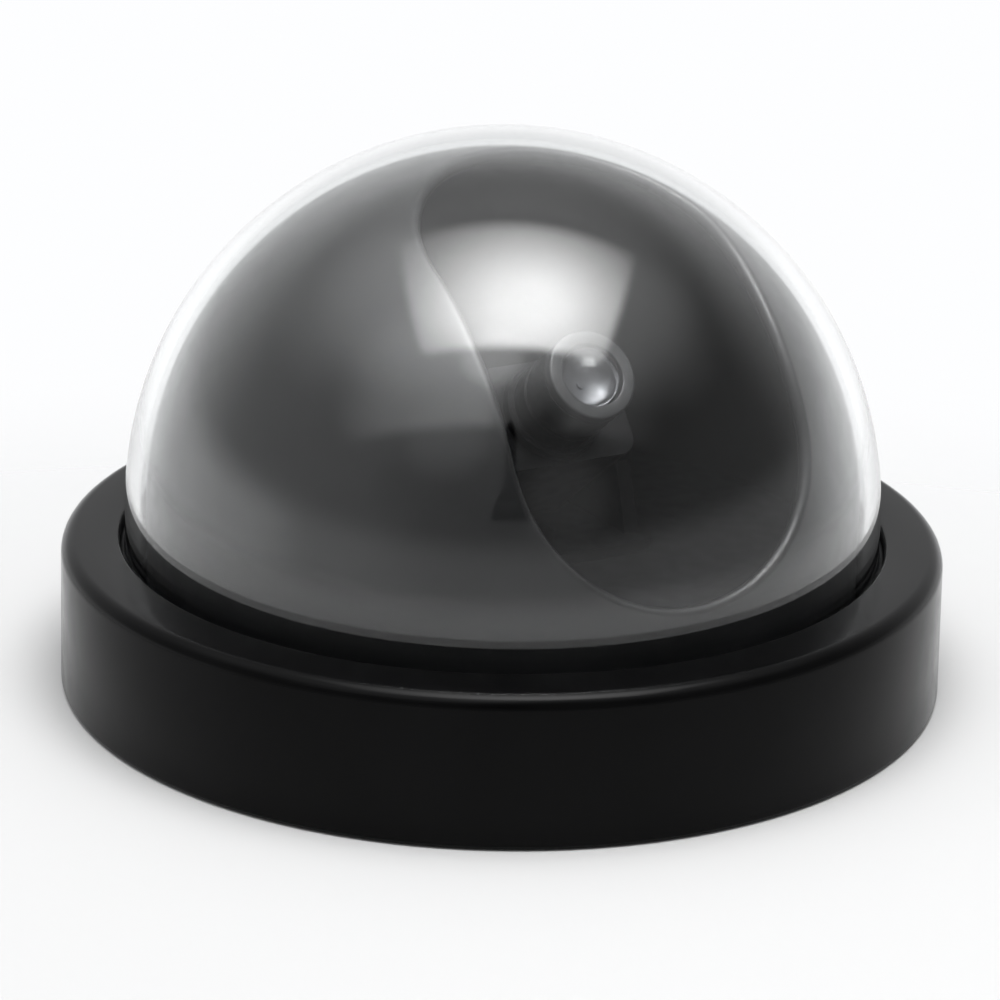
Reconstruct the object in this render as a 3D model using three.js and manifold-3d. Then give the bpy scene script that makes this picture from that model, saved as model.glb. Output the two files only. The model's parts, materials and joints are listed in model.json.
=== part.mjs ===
// Battery-powered imitation dome camera: a black base ring with a clear hemispherical dome.
// Millimetres, +Z away from the ceiling or wall. The origin is the centre of the back face,
// and the front is -Y. The dark liner inside the dome pans about Z, and the camera unit with
// its flashing light tilts inside the liner's long slot.
import * as THREE from 'three';
import { mergeVertices } from 'three/addons/utils/BufferGeometryUtils.js';
import Module from 'manifold-3d';

const wasm = await Module();
wasm.setup();

// ---- driving dimensions ------------------------------------------------------------------
const DEG = Math.PI / 180;
const GAP = 0.3;                       // clearance between pieces that move or rest on another

const BASE_RADIUS = 60;                // outer ring at its foot
const RING_TOP_RADIUS = 59.6;          // outer ring where the edge round starts
const RING_HEIGHT = 20;
const RING_FOOT_Z = 0.2;
const RING_WALL = 2.5;
const RING_TOP_THICKNESS = 2.2;
const RING_EDGE_ROUND = 2;
const RING_HOLE_RADIUS = 51.75;
const RING_HOLE_ROUND = 0.5;

const DOME_RADIUS = 51;
const DOME_CENTRE_Z = 23.5;
const DOME_WALL = 2;
const DOME_FLANGE_RADIUS = 52.9;
const DOME_FLANGE_THICKNESS = 1.7;

const CLAMP_INNER_RADIUS = 49.3;       // ring that clamps the dome's flange from below
const CLAMP_OUTER_RADIUS = 57;
const CLAMP_THICKNESS = 1.4;
const CLAMP_SCREW_RADIUS = 55.3;       // distance of its screws from the axis
const CLAMP_SCREW_ANGLES = [15, 105, 195, 285];

const BAYONET_ANGLES = [30, 150, 270];
const BAYONET_TAB_HALF_ANGLE = 6;
const BAYONET_TAB_RADIUS = 54.4;       // inner edge of the ring's tabs
const BAYONET_TAB_Z = [2.9, 4.5];
const BAYONET_LUG_HALF_ANGLE = 8;
const BAYONET_LUG_RADIUS = [51, 56.4]; // inner face of the base's lugs and reach of their hooks
const BAYONET_LUG_FOOT_Z = 1.5;
const BAYONET_HOOK_Z = [5, 6.6];

const PLATE_RADIUS = 56.6;             // base plate
const PLATE_THICKNESS = 2.2;

const LINER_RADIUS = 48.2;
const LINER_WALL = 1.7;
const LINER_FOOT_Z = 15.4;
const SLOT_HALF_WIDTH = 20.3;
const SLOT_LOW = 2;                    // elevation of the slot's two ends, seen from the dome centre
const SLOT_HIGH = 91;

const PAN_REST = 30;                   // turn of the liner from straight ahead
const TILT_REST = 38;                  // elevation of the lens axis
const TILT_AXIS_Z = 30.5;

const TURNTABLE_RADIUS = 46.1;
const TURNTABLE_Z = 15;
const TURNTABLE_TOP = 17;
const PIVOT_RADIUS = 3;                // hollow pivot bush of the pan
const BOSS_RADIUS = 6.4;               // base boss that holds the bush
const BOSS_TOP = 14;

const CELL_RADIUS = 5.2;               // AAA cell
const CELL_LENGTH = 44.5;
const CELL_AXIS_Z = 7.6;
const CELL_PITCH = 10.7;               // distance between the two cells' axes
const WELL_CENTRE_Y = 24.4;
const WELL_HALF_LENGTH = 25.4;         // inside of the battery well
const WELL_HALF_WIDTH = 10.75;
const WELL_WALL = 1.35;
const WELL_TOP = 14.6;

const DOOR_LOW = 0.4;                  // battery door, sunk below the back face
const DOOR_HIGH = 1.9;
const DOOR_HINGE_Y = WELL_CENTRE_Y + WELL_HALF_WIDTH - 1.1;

const BOARD_Z = 6;
const BOARD_THICKNESS = 1.6;
const BOARD_HALF_LENGTH = 17;
const BOARD_HALF_WIDTH = 11;
const BOARD_CENTRE_Y = -26;

const BODY_HALF_WIDTH = 11;            // camera body, measured from the lens axis
const BODY_HALF_HEIGHT = 7.2;
const BODY_FRONT = -15;
const BODY_REAR = 5.6;
const YOKE_ARM_INNER = 15;
const YOKE_ARM_THICKNESS = 2.2;
const BARREL_RADIUS = 6;
const BARREL_FRONT = -26.3;
const BEZEL_FRONT = -28;
const LED_RADIUS = 4;
const LED_CENTRE = -26.5;              // centre of the light's round nose on the lens axis

const DOME_STEPS = 9;                  // facets from the rim of a dome to its top
const ROUND = { huge: 40, large: 32, medium: 18, small: 12, tiny: 8, wire: 6 };

// ---- materials ---------------------------------------------------------------------------
const finish = (color, roughness, metalness) => ({ color, roughness, metalness });
const BLACK_SATIN = finish(0x0d0d0e, 0.42, 0);
const BLACK_GLOSS = finish(0x08080a, 0.18, 0);
const BLACK_MATT = finish(0x111112, 0.7, 0);
const STEEL = finish(0x9c9ea0, 0.35, 1);
const NICKEL = finish(0xb9b7ae, 0.3, 1);
const NYLON = finish(0xdad7cd, 0.5, 0);
const CELL_JACKET = finish(0x2d3a46, 0.35, 0.2);
const BOARD_GREEN = finish(0x1d5a34, 0.45, 0);
const CHIP_BLACK = finish(0x17171a, 0.55, 0);
const CAPACITOR_BLUE = finish(0x1f2f66, 0.35, 0);
const RESISTOR_TAN = finish(0xc7a877, 0.5, 0);
const WIRE_RED = finish(0xa31818, 0.5, 0);
const WIRE_BLACK = finish(0x101010, 0.55, 0);
const RUBBER_BLACK = finish(0x141414, 0.85, 0);
const CLEAR = { ...finish(0xf2f5f6, 0.04, 0), transparent: true, opacity: 0.25 };

// ---- geometry helpers --------------------------------------------------------------------

// Merges shared corners, drops collapsed triangles and turns the faces outwards.
function closed(geometry) {
  const bare = geometry.clone();
  for (const name of Object.keys(bare.attributes)) {
    if (name !== 'position') bare.deleteAttribute(name);
  }
  const merged = mergeVertices(bare, 1e-4);
  const index = merged.index.array;
  const position = merged.attributes.position;
  const kept = [];
  let volume = 0;
  const [a, b, c] = [new THREE.Vector3(), new THREE.Vector3(), new THREE.Vector3()];
  for (let i = 0; i < index.length; i += 3) {
    const [p, q, r] = [index[i], index[i + 1], index[i + 2]];
    if (p === q || q === r || r === p) continue;
    kept.push(p, q, r);
    a.fromBufferAttribute(position, p);
    b.fromBufferAttribute(position, q);
    c.fromBufferAttribute(position, r);
    volume += a.dot(b.cross(c));
  }
  if (volume < 0) kept.reverse();
  merged.setIndex(kept);
  return merged;
}

function toSolid(geometry) {
  const tidy = closed(geometry);
  const vertProperties = new Float32Array(tidy.attributes.position.array);
  const triVerts = new Uint32Array(tidy.index.array);
  return new wasm.Manifold(new wasm.Mesh({ numProp: 3, vertProperties, triVerts }));
}

function toGeometry(solid) {
  const mesh = solid.getMesh();
  const geometry = new THREE.BufferGeometry();
  geometry.setAttribute('position', new THREE.BufferAttribute(new Float32Array(mesh.vertProperties), 3));
  geometry.setIndex(new THREE.BufferAttribute(new Uint32Array(mesh.triVerts), 1));
  return geometry;
}

// Joins every shape in add, then cuts every shape in cut away.
function carve(add, cut = []) {
  let solid = toSolid(add[0]);
  for (const shape of add.slice(1)) solid = solid.add(toSolid(shape));
  for (const shape of cut) solid = solid.subtract(toSolid(shape));
  return toGeometry(solid);
}

// Turns a profile of [radius, z] points about the Z axis.
function revolve(profile, segments) {
  const points = profile.map(([radius, z]) => new THREE.Vector2(radius, z));
  return new THREE.LatheGeometry(points, segments).rotateX(Math.PI / 2);
}

function disc(radius, low, high, segments, x = 0, y = 0) {
  const geometry = new THREE.CylinderGeometry(radius, radius, high - low, segments);
  return geometry.rotateX(Math.PI / 2).translate(x, y, (low + high) / 2);
}

function ring(inner, outer, low, high, segments) {
  return revolve([[inner, low], [outer, low], [outer, high], [inner, high], [inner, low]], segments);
}

function block(x0, x1, y0, y1, z0, z1) {
  const geometry = new THREE.BoxGeometry(x1 - x0, y1 - y0, z1 - z0);
  return geometry.translate((x0 + x1) / 2, (y0 + y1) / 2, (z0 + z1) / 2);
}

// Piece of a flat ring between two angles in degrees.
function sector(inner, outer, from, to, low, high, segments = 6) {
  const shape = new THREE.Shape();
  shape.absarc(0, 0, outer, from * DEG, to * DEG, false);
  shape.absarc(0, 0, inner, to * DEG, from * DEG, true);
  const options = { depth: high - low, bevelEnabled: false, curveSegments: segments };
  return new THREE.ExtrudeGeometry(shape, options).translate(0, 0, low);
}

// Rounded rectangle, centred on the origin.
function roundedRectangle(halfWidth, halfHeight, radius) {
  const shape = new THREE.Shape();
  shape.absarc(halfWidth - radius, halfHeight - radius, radius, 0, 90 * DEG);
  shape.absarc(radius - halfWidth, halfHeight - radius, radius, 90 * DEG, 180 * DEG);
  shape.absarc(radius - halfWidth, radius - halfHeight, radius, 180 * DEG, 270 * DEG);
  shape.absarc(halfWidth - radius, radius - halfHeight, radius, 270 * DEG, 360 * DEG);
  return shape;
}

// Rounded block whose section lies in XZ and whose length runs along Y.
function roundedBlockY(halfWidth, halfHeight, radius, y0, y1) {
  const options = { depth: y1 - y0, bevelEnabled: false, curveSegments: 4 };
  const geometry = new THREE.ExtrudeGeometry(roundedRectangle(halfWidth, halfHeight, radius), options);
  return geometry.rotateX(90 * DEG).translate(0, y1, 0);
}

// Turns a shape made about Z so that its +Z points along the given axis.
const alongX = (geometry) => geometry.rotateY(90 * DEG);
const alongMinusX = (geometry) => geometry.rotateY(-90 * DEG);
const alongMinusY = (geometry) => geometry.rotateX(90 * DEG);
const alongPlusY = (geometry) => geometry.rotateX(-90 * DEG);

// Round wire through the given points.
function wireThrough(points, radius, steps) {
  const path = new THREE.CatmullRomCurve3(points.map(([x, y, z]) => new THREE.Vector3(x, y, z)));
  return wireAlong(path, radius, steps, ROUND.wire);
}

function wireAlong(path, radius, steps, sides) {
  const shape = new THREE.Shape();
  for (let i = 0; i < sides; i += 1) {
    const angle = 2 * Math.PI * i / sides;
    const [x, y] = [radius * Math.cos(angle), radius * Math.sin(angle)];
    if (i === 0) shape.moveTo(x, y);
    else shape.lineTo(x, y);
  }
  shape.closePath();
  return new THREE.ExtrudeGeometry(shape, { steps, extrudePath: path, bevelEnabled: false });
}

// Pan-head screw along Z: the head's underside is at z = 0, the shank points to -Z.
function screw(headRadius, headHeight, shankRadius, shankLength) {
  const profile = [
    [0, -shankLength], [shankRadius, -shankLength], [shankRadius, 0], [headRadius, 0],
    [headRadius * 0.8, headHeight], [0, headHeight],
  ];
  const arm = headRadius * 0.55;
  const slit = headRadius * 0.13;
  const floor = headHeight * 0.45;
  const recess = [[arm, slit], [slit, arm]].map(([x, y]) => block(-x, x, -y, y, floor, headHeight + 1));
  return carve([revolve(profile, ROUND.tiny)], recess);
}

function polar(radius, degrees) {
  return [radius * Math.cos(degrees * DEG), radius * Math.sin(degrees * DEG)];
}

// ---- scene graph -------------------------------------------------------------------------
const object = new THREE.Group();
const pan = new THREE.Group();
const tilt = new THREE.Group();
pan.rotation.z = PAN_REST * DEG;
tilt.position.z = TILT_AXIS_Z;
tilt.rotation.x = -TILT_REST * DEG;
pan.add(tilt);
object.add(pan);

function place(group, name, geometry, look, position = [0, 0, 0]) {
  const mesh = new THREE.Mesh(closed(geometry), new THREE.MeshStandardMaterial(look));
  mesh.name = name;
  mesh.position.set(...position);
  group.add(mesh);
}

// ---- cover: outer ring, clear dome and the ring that clamps it ----------------------------
const ringCeiling = RING_HEIGHT - RING_TOP_THICKNESS;
const ringInnerRadius = BASE_RADIUS - RING_WALL;
const flangeTop = ringCeiling - 0.2;
const flangeFoot = flangeTop - DOME_FLANGE_THICKNESS;
const clampTop = flangeFoot - 0.2;
const clampFoot = clampTop - CLAMP_THICKNESS;

function roundProfile(centreRadius, centreZ, radius, from, to, steps) {
  const points = [];
  for (let i = 0; i <= steps; i += 1) {
    const [dr, dz] = polar(radius, from + (to - from) * i / steps);
    points.push([centreRadius + dr, centreZ + dz]);
  }
  return points;
}

function outerRing() {
  const holeCentre = RING_HOLE_RADIUS + RING_HOLE_ROUND;
  const edge = RING_EDGE_ROUND;
  const shell = revolve([
    [ringInnerRadius, RING_FOOT_Z], [BASE_RADIUS - 0.4, RING_FOOT_Z], [BASE_RADIUS, RING_FOOT_Z + 0.4],
    ...roundProfile(RING_TOP_RADIUS - edge, RING_HEIGHT - edge, edge, 0, 90, 5),
    ...roundProfile(holeCentre, RING_HEIGHT - RING_HOLE_ROUND, RING_HOLE_ROUND, 90, 180, 3),
    [RING_HOLE_RADIUS, ringCeiling], [ringInnerRadius, ringCeiling], [ringInnerRadius, RING_FOOT_Z],
  ], ROUND.huge);
  const posts = CLAMP_SCREW_ANGLES.map((angle) => {
    return disc(2, clampTop + 0.1, ringCeiling + 0.5, ROUND.tiny, ...polar(CLAMP_SCREW_RADIUS, angle));
  });
  const pilots = CLAMP_SCREW_ANGLES.map((angle) => {
    return disc(1.2, clampTop - 1, RING_HEIGHT - 1.2, ROUND.tiny, ...polar(CLAMP_SCREW_RADIUS, angle));
  });
  const tabs = BAYONET_ANGLES.map((angle) => sector(
    BAYONET_TAB_RADIUS, ringInnerRadius + 0.6,
    angle - BAYONET_TAB_HALF_ANGLE, angle + BAYONET_TAB_HALF_ANGLE, ...BAYONET_TAB_Z,
  ));
  return carve([shell, ...posts, ...tabs], pilots);
}

function clearDome() {
  const inner = DOME_RADIUS - DOME_WALL;
  return revolve([
    ...roundProfile(0, DOME_CENTRE_Z, DOME_RADIUS, 90, 0, DOME_STEPS),
    [DOME_RADIUS, flangeTop], [DOME_FLANGE_RADIUS, flangeTop], [DOME_FLANGE_RADIUS, flangeFoot],
    [inner, flangeFoot],
    ...roundProfile(0, DOME_CENTRE_Z, inner, 0, 90, DOME_STEPS),
  ], ROUND.huge);
}

function clampRing() {
  const holes = CLAMP_SCREW_ANGLES.map((angle) => {
    return disc(1.35, clampFoot - 1, clampTop + 1, ROUND.tiny, ...polar(CLAMP_SCREW_RADIUS, angle));
  });
  return carve([ring(CLAMP_INNER_RADIUS, CLAMP_OUTER_RADIUS, clampFoot, clampTop, ROUND.large)], holes);
}

place(object, 'outer_ring', outerRing(), BLACK_SATIN);
place(object, 'clear_dome', clearDome(), CLEAR);
place(object, 'dome_clamp_ring', clampRing(), BLACK_MATT);
CLAMP_SCREW_ANGLES.forEach((angle, i) => {
  const clampScrew = screw(1.9, 1.4, 1, 3.6).rotateX(180 * DEG);
  const seat = [...polar(CLAMP_SCREW_RADIUS, angle), clampFoot - 0.05];
  place(object, `clamp_screw_${i + 1}`, clampScrew, STEEL, seat);
});

// ---- base plate --------------------------------------------------------------------------
const wellX = WELL_HALF_LENGTH;
const wellLow = WELL_CENTRE_Y - WELL_HALF_WIDTH;
const wellHigh = WELL_CENTRE_Y + WELL_HALF_WIDTH;
const cellY = [WELL_CENTRE_Y - CELL_PITCH / 2, WELL_CENTRE_Y + CELL_PITCH / 2];
const keyholeX = 42;
const boardY = [BOARD_CENTRE_Y - BOARD_HALF_WIDTH, BOARD_CENTRE_Y + BOARD_HALF_WIDTH];
const boardPosts = [[13.5, -19], [-13.5, -33], [-13.5, -19], [13.5, -33]];
const boardScrews = boardPosts.slice(0, 2);
const switchX = 0;
const switchY = -30;
const stopPostAngle = PAN_REST - 90;   // opposite the turntable's stop tab
const stopTabTo = 11.3;

function bayonetLug(angle) {
  const from = angle - BAYONET_LUG_HALF_ANGLE;
  const to = angle + BAYONET_LUG_HALF_ANGLE;
  const [inner, outer] = BAYONET_LUG_RADIUS;
  const [hookLow, top] = BAYONET_HOOK_Z;
  return [
    sector(inner, inner + 2, from, to, BAYONET_LUG_FOOT_Z, top),
    sector(inner + 1.5, outer, from, to, hookLow, top),
    sector(inner, outer, from - 1.5, from + 0.4, BAYONET_LUG_FOOT_Z, top, 2),
  ];
}

function keyhole(x) {
  const headRadius = 3.8;
  const slotRadius = 2;
  const [headY, slotY] = [-3.5, 4.5];
  return [
    disc(headRadius, -1, PLATE_THICKNESS + 1, ROUND.small, x, headY),
    disc(slotRadius, -1, PLATE_THICKNESS + 1, ROUND.small, x, slotY),
    block(x - slotRadius, x + slotRadius, headY, slotY, -1, PLATE_THICKNESS + 1),
  ];
}

function basePlate() {
  const contactSlots = cellY.map((y) => block(-wellX - 2, -wellX + 1, y - 1.8, y + 1.8, 6.4, 9));
  const hingePockets = [1, -1].map((side) => {
    const [near, far] = [side * (wellX - 1), side * (wellX + 0.9)];
    return block(Math.min(near, far), Math.max(near, far), DOOR_HINGE_Y - 1.1, DOOR_HINGE_Y + 1.1, -1, 2.1);
  });
  return carve([
    disc(PLATE_RADIUS, 0, PLATE_THICKNESS, ROUND.huge),
    block(-wellX - WELL_WALL, wellX + WELL_WALL, wellLow - WELL_WALL, wellHigh + WELL_WALL, 1, WELL_TOP),
    disc(BOSS_RADIUS, 1, BOSS_TOP, ROUND.medium),
    block(-1.6, 1.6, -BOSS_RADIUS - 3, -BOSS_RADIUS + 1, 1, 2.6),
    sector(9.4, 11.4, stopPostAngle - 5, stopPostAngle + 5, 1, 13, 2),
    ...boardPosts.map(([x, y]) => disc(2.8, 1, BOARD_Z - 0.1, ROUND.tiny, x, y)),
    ...BAYONET_ANGLES.flatMap(bayonetLug),
  ], [
    block(-wellX, wellX, wellLow, wellHigh, -1, WELL_TOP - 1.2),
    disc(PIVOT_RADIUS + 0.15, PLATE_THICKNESS, BOSS_TOP + 1, ROUND.medium),
    block(-1.8, 1.8, -BOSS_RADIUS - 1, 0, 2.7, 6.6),
    block(switchX - 3.4, switchX + 3.4, switchY - 1.5, switchY + 1.5, -1, PLATE_THICKNESS + 1),
    disc(5, -1, 0.9, ROUND.small, 0, wellLow - 2.2),
    ...boardScrews.map(([x, y]) => disc(1.2, PLATE_THICKNESS, BOARD_Z + 1, ROUND.tiny, x, y)),
    ...[keyholeX, -keyholeX].flatMap(keyhole),
    ...contactSlots,
    ...hingePockets,
  ]);
}

place(object, 'base_plate', basePlate(), BLACK_SATIN);

// ---- battery door, cells and contacts ----------------------------------------------------
function batteryDoor() {
  const clear = 0.4;
  const thick = DOOR_HIGH - DOOR_LOW;
  const hingeZ = (DOOR_LOW + DOOR_HIGH) / 2;
  const free = wellLow + clear;
  const x = wellX - clear;
  const knuckle = alongX(disc(thick / 2, -x, x, ROUND.tiny)).translate(0, DOOR_HINGE_Y, hingeZ);
  const pins = alongX(disc(0.6, -wellX - 0.6, wellX + 0.6, ROUND.tiny)).translate(0, DOOR_HINGE_Y, hingeZ);
  const panel = block(-x, x, free, DOOR_HINGE_Y, DOOR_LOW, DOOR_HIGH);
  const tongue = block(-4, 4, free, free + 0.9, DOOR_HIGH - 0.2, DOOR_HIGH + 2.4);
  const gripPitch = 1.5;
  const grips = [1, 2, 3].map((i) => {
    const y = free + i * gripPitch;
    return block(-6, 6, y, y + 0.6, -1, DOOR_LOW + 0.35);
  });
  return carve([knuckle, pins, panel, tongue], grips);
}

// Cell along X, its plain end at x = 0 and its raised contact at x = CELL_LENGTH.
function cell() {
  const shoulder = CELL_LENGTH - 1;
  const body = revolve([
    [0, 0.2], [3.4, 0.2], [3.7, 0], [CELL_RADIUS - 0.4, 0], [CELL_RADIUS, 0.4],
    [CELL_RADIUS, shoulder - 0.4], [CELL_RADIUS - 0.4, shoulder], [1.9, shoulder],
    [1.9, CELL_LENGTH - 0.2], [1.7, CELL_LENGTH], [0, CELL_LENGTH],
  ], ROUND.medium);
  return alongX(body);
}

class SpringCurve extends THREE.Curve {
  constructor(length, turns, wideRadius, narrowRadius) {
    super();
    Object.assign(this, { length, turns, wideRadius, narrowRadius });
  }

  getPoint(t, target = new THREE.Vector3()) {
    const radius = this.wideRadius + (this.narrowRadius - this.wideRadius) * t;
    const [y, z] = polar(radius, 360 * this.turns * t);
    return target.set(this.length * t, y, z);
  }
}

// Spring along X: its wide end at x = 0, its narrow end at x = length.
function coilSpring(length) {
  return wireAlong(new SpringCurve(length, 4, 3.5, 2.3), 0.35, 44, 5);
}

const contactThickness = 0.5;
const contactFace = wellX - 0.1 - contactThickness;   // |x| of the contact plates' inner faces
const springLength = 4.2;
const cellFlatX = contactFace - springLength - 0.55;  // |x| of the plain end of each cell
const buttonHeight = contactFace - (CELL_LENGTH - cellFlatX) - 0.1;

// A spring and a dimple, each drawn for the contact plate at +X.
function springAt(y) {
  return coilSpring(springLength).rotateZ(180 * DEG).translate(contactFace + 0.25, y, CELL_AXIS_Z);
}

function dimpleAt(y) {
  return alongX(disc(1.6, contactFace - buttonHeight, contactFace + 0.2, ROUND.tiny))
    .translate(0, y, CELL_AXIS_Z);
}

function contactPlate(y0, y1) {
  return block(contactFace, contactFace + contactThickness, y0, y1, 3, 12.6);
}

const mirrorX = (geometry) => closed(geometry.scale(-1, 1, 1));

// Solder tab that passes out through the end wall of the well, for the plates at -X.
function solderTab(y) {
  return block(-wellX - 3, -contactFace - 0.1, y - 1.3, y + 1.3, 7.4, 7.9);
}

place(object, 'battery_door', batteryDoor(), BLACK_SATIN);
place(object, 'battery_cell_1', cell().rotateZ(180 * DEG), CELL_JACKET, [cellFlatX, cellY[0], CELL_AXIS_Z]);
place(object, 'battery_cell_2', cell(), CELL_JACKET, [-cellFlatX, cellY[1], CELL_AXIS_Z]);
place(object, 'bridge_contact', carve([
  contactPlate(cellY[0] - 4.4, cellY[1] + 4.4), springAt(cellY[0]), dimpleAt(cellY[1]),
]), NICKEL);
place(object, 'positive_contact', carve([
  mirrorX(contactPlate(cellY[0] - 4.4, cellY[0] + 4.4)), mirrorX(dimpleAt(cellY[0])), solderTab(cellY[0]),
]), NICKEL);
place(object, 'negative_contact', carve([
  mirrorX(contactPlate(cellY[1] - 4.4, cellY[1] + 4.4)), mirrorX(springAt(cellY[1])), solderTab(cellY[1]),
]), NICKEL);

// ---- flasher board -----------------------------------------------------------------------
const boardTop = BOARD_Z + BOARD_THICKNESS;
const onBoard = boardTop + 0.05;

function flasherBoard() {
  const holes = boardScrews.map(([x, y]) => disc(1.35, BOARD_Z - 1, boardTop + 1, ROUND.tiny, x, y));
  return carve([block(-BOARD_HALF_LENGTH, BOARD_HALF_LENGTH, ...boardY, BOARD_Z, boardTop)], holes);
}

function timerChip() {
  const legs = [];
  for (let i = 0; i < 4; i += 1) {
    const x = 2.54 * (i - 1.5);
    for (const side of [-1, 1]) {
      const [inner, outer] = [side * 2.8, side * 3.9];
      const [low, high] = [Math.min(inner, outer), Math.max(inner, outer)];
      const foot = side > 0 ? [outer - 0.3, outer] : [outer, outer + 0.3];
      legs.push(block(x - 0.3, x + 0.3, low, high, 1.7, 2), block(x - 0.3, x + 0.3, ...foot, 0, 2));
    }
  }
  return carve([block(-4.8, 4.8, -3.1, 3.1, 0.5, 3.6), ...legs], [disc(0.6, 3.3, 4, 8, -3.9, 0)]);
}

function capacitor() {
  return revolve([
    [0, 0], [2.4, 0], [2.5, 0.2], [2.5, 0.9], [2.3, 1.1], [2.5, 1.3], [2.5, 6], [2.3, 6.3], [0, 6.3],
  ], ROUND.small);
}

function resistor() {
  const body = alongX(revolve([
    [0, -3.1], [0.9, -3.1], [1.15, -2.8], [1.15, -1.9], [0.95, -1.7],
    [0.95, 1.7], [1.15, 1.9], [1.15, 2.8], [0.9, 3.1], [0, 3.1],
  ], ROUND.tiny));
  const lead = wireThrough([
    [-4.8, 0, -1.25], [-4.7, 0, -0.3], [-4, 0, 0], [4, 0, 0], [4.7, 0, -0.3], [4.8, 0, -1.25],
  ], 0.25, 18);
  return carve([body, lead]);
}

function switchBody() {
  return carve(
    [block(-4.3, 4.3, -2.2, 2.2, 2.6, BOARD_Z - 0.05)],
    [block(-3.4, 3.4, -1.4, 1.4, 1, 4.6)],
  );
}

function switchSlider() {
  const ridges = [-0.6, 0, 0.6].map((x) => block(x - 0.12, x + 0.12, -2, 2, 0, 0.85));
  return carve([block(-1.9, 1.9, -1.1, 1.1, 3, 4.3), block(-1, 1, -1.1, 1.1, 0.6, 3.5)], ridges);
}

place(object, 'flasher_board', flasherBoard(), BOARD_GREEN);
place(object, 'timer_chip', timerChip(), CHIP_BLACK, [-4, -26, onBoard]);
place(object, 'capacitor', capacitor(), CAPACITOR_BLUE, [9, -22.5, onBoard]);
place(object, 'resistor', resistor(), RESISTOR_TAN, [6, -33, onBoard + 1.3]);
place(object, 'switch_body', switchBody(), BLACK_MATT, [switchX, switchY, 0]);
place(object, 'switch_slider', switchSlider(), NYLON, [switchX - 1, switchY, 0]);
boardScrews.forEach(([x, y], i) => {
  place(object, `board_screw_${i + 1}`, screw(2.1, 1.5, 1, 4.6), STEEL, [x, y, boardTop + 0.1]);
});

const padZ = onBoard + 0.75;
const leadEnd = -wellX - 3.8;
const leadRadius = 0.65;
const cableRadius = 0.9;
place(object, 'battery_lead_red', wireThrough([
  [leadEnd, cellY[0], 7.7], [-31.5, 12, 5], [-31, -4, 3.6], [-25, -15, 5],
  [-19, -20, padZ], [-15.5, -21, padZ],
], leadRadius, 22), WIRE_RED);
place(object, 'battery_lead_black', wireThrough([
  [leadEnd, cellY[1], 7.7], [-33.5, 22, 5], [-34, -2, 3.6], [-27, -19, 5],
  [-20, -25, padZ], [-15.5, -25, padZ],
], leadRadius, 22), WIRE_BLACK);
place(object, 'led_cable', wireThrough([
  [0, -18.5, padZ + 0.3], [0, -12.5, padZ], [0, -8.8, 5.4], [0, -5, 4.3], [0, -1.6, 4.7],
  [0, 0, 7], [0, 0, 12], [0, 0, 18],
], cableRadius, 30), WIRE_BLACK);

// ---- pan pivot on the base boss ----------------------------------------------------------
const counterboreFloor = 15.8;
const counterboreRadius = 6.6;
const bushFlangeRadius = 6.2;
const bushBore = 1.7;
const bushFoot = 7;
const bushTop = TURNTABLE_TOP + 0.3;
const bushFlangeFoot = counterboreFloor + 0.2;

place(object, 'pivot_bush', revolve([
  [bushBore, bushFoot], [PIVOT_RADIUS, bushFoot], [PIVOT_RADIUS, bushFlangeFoot],
  [bushFlangeRadius, bushFlangeFoot], [bushFlangeRadius, bushTop - 0.2], [bushFlangeRadius - 0.2, bushTop],
  [bushBore, bushTop], [bushBore, bushFoot],
], ROUND.medium), NYLON);
place(object, 'thrust_washer', ring(
  PIVOT_RADIUS + GAP, bushFlangeRadius, BOSS_TOP + 0.1, TURNTABLE_Z - 0.1, ROUND.medium,
), NYLON);

// ---- pan body: turntable, yoke and liner -------------------------------------------------
const linerFeet = [90, 210, 330];
const linerFootRadius = 42.6;
const linerPostTop = 21;
const yokeBaseFoot = TURNTABLE_TOP + 0.2;
const yokeBaseTop = yokeBaseFoot + 1.6;
const yokeScrews = [[11.4, 7.6], [-11.4, -7.6]];

function turntable() {
  const posts = linerFeet.map((angle) => {
    return disc(2.8, TURNTABLE_Z + 0.5, linerPostTop, ROUND.tiny, ...polar(linerFootRadius, angle));
  });
  const postPilots = linerFeet.map((angle) => {
    return disc(1.2, TURNTABLE_TOP, linerPostTop + 1, ROUND.tiny, ...polar(linerFootRadius, angle));
  });
  return carve([
    disc(TURNTABLE_RADIUS, TURNTABLE_Z, TURNTABLE_TOP, ROUND.huge),
    ring(6.9, 9, 11, TURNTABLE_Z + 0.5, ROUND.medium),
    block(-1, 1, 8.4, stopTabTo, 11, TURNTABLE_Z + 0.5),
    ...posts,
  ], [
    disc(PIVOT_RADIUS + 0.25, 10, TURNTABLE_TOP + 1, ROUND.medium),
    disc(counterboreRadius, counterboreFloor, TURNTABLE_TOP + 1, ROUND.medium),
    ...postPilots,
    ...yokeScrews.map(([x, y]) => disc(1.2, TURNTABLE_Z - 1, TURNTABLE_TOP + 1, ROUND.tiny, x, y)),
  ]);
}

function yokeArm(side) {
  const shape = new THREE.Shape();
  shape.moveTo(-8, 0);
  shape.lineTo(8, 0);
  shape.lineTo(4.6, TILT_AXIS_Z - yokeBaseFoot - 2);
  shape.absarc(0, TILT_AXIS_Z - yokeBaseFoot, 5, -24 * DEG, 204 * DEG, false);
  const options = { depth: YOKE_ARM_THICKNESS, bevelEnabled: false, curveSegments: 8 };
  const arm = new THREE.ExtrudeGeometry(shape, options);
  arm.rotateX(90 * DEG).rotateZ(90 * DEG);
  const x = side > 0 ? YOKE_ARM_INNER : -YOKE_ARM_INNER - YOKE_ARM_THICKNESS;
  return arm.translate(x, 0, yokeBaseFoot);
}

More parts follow.
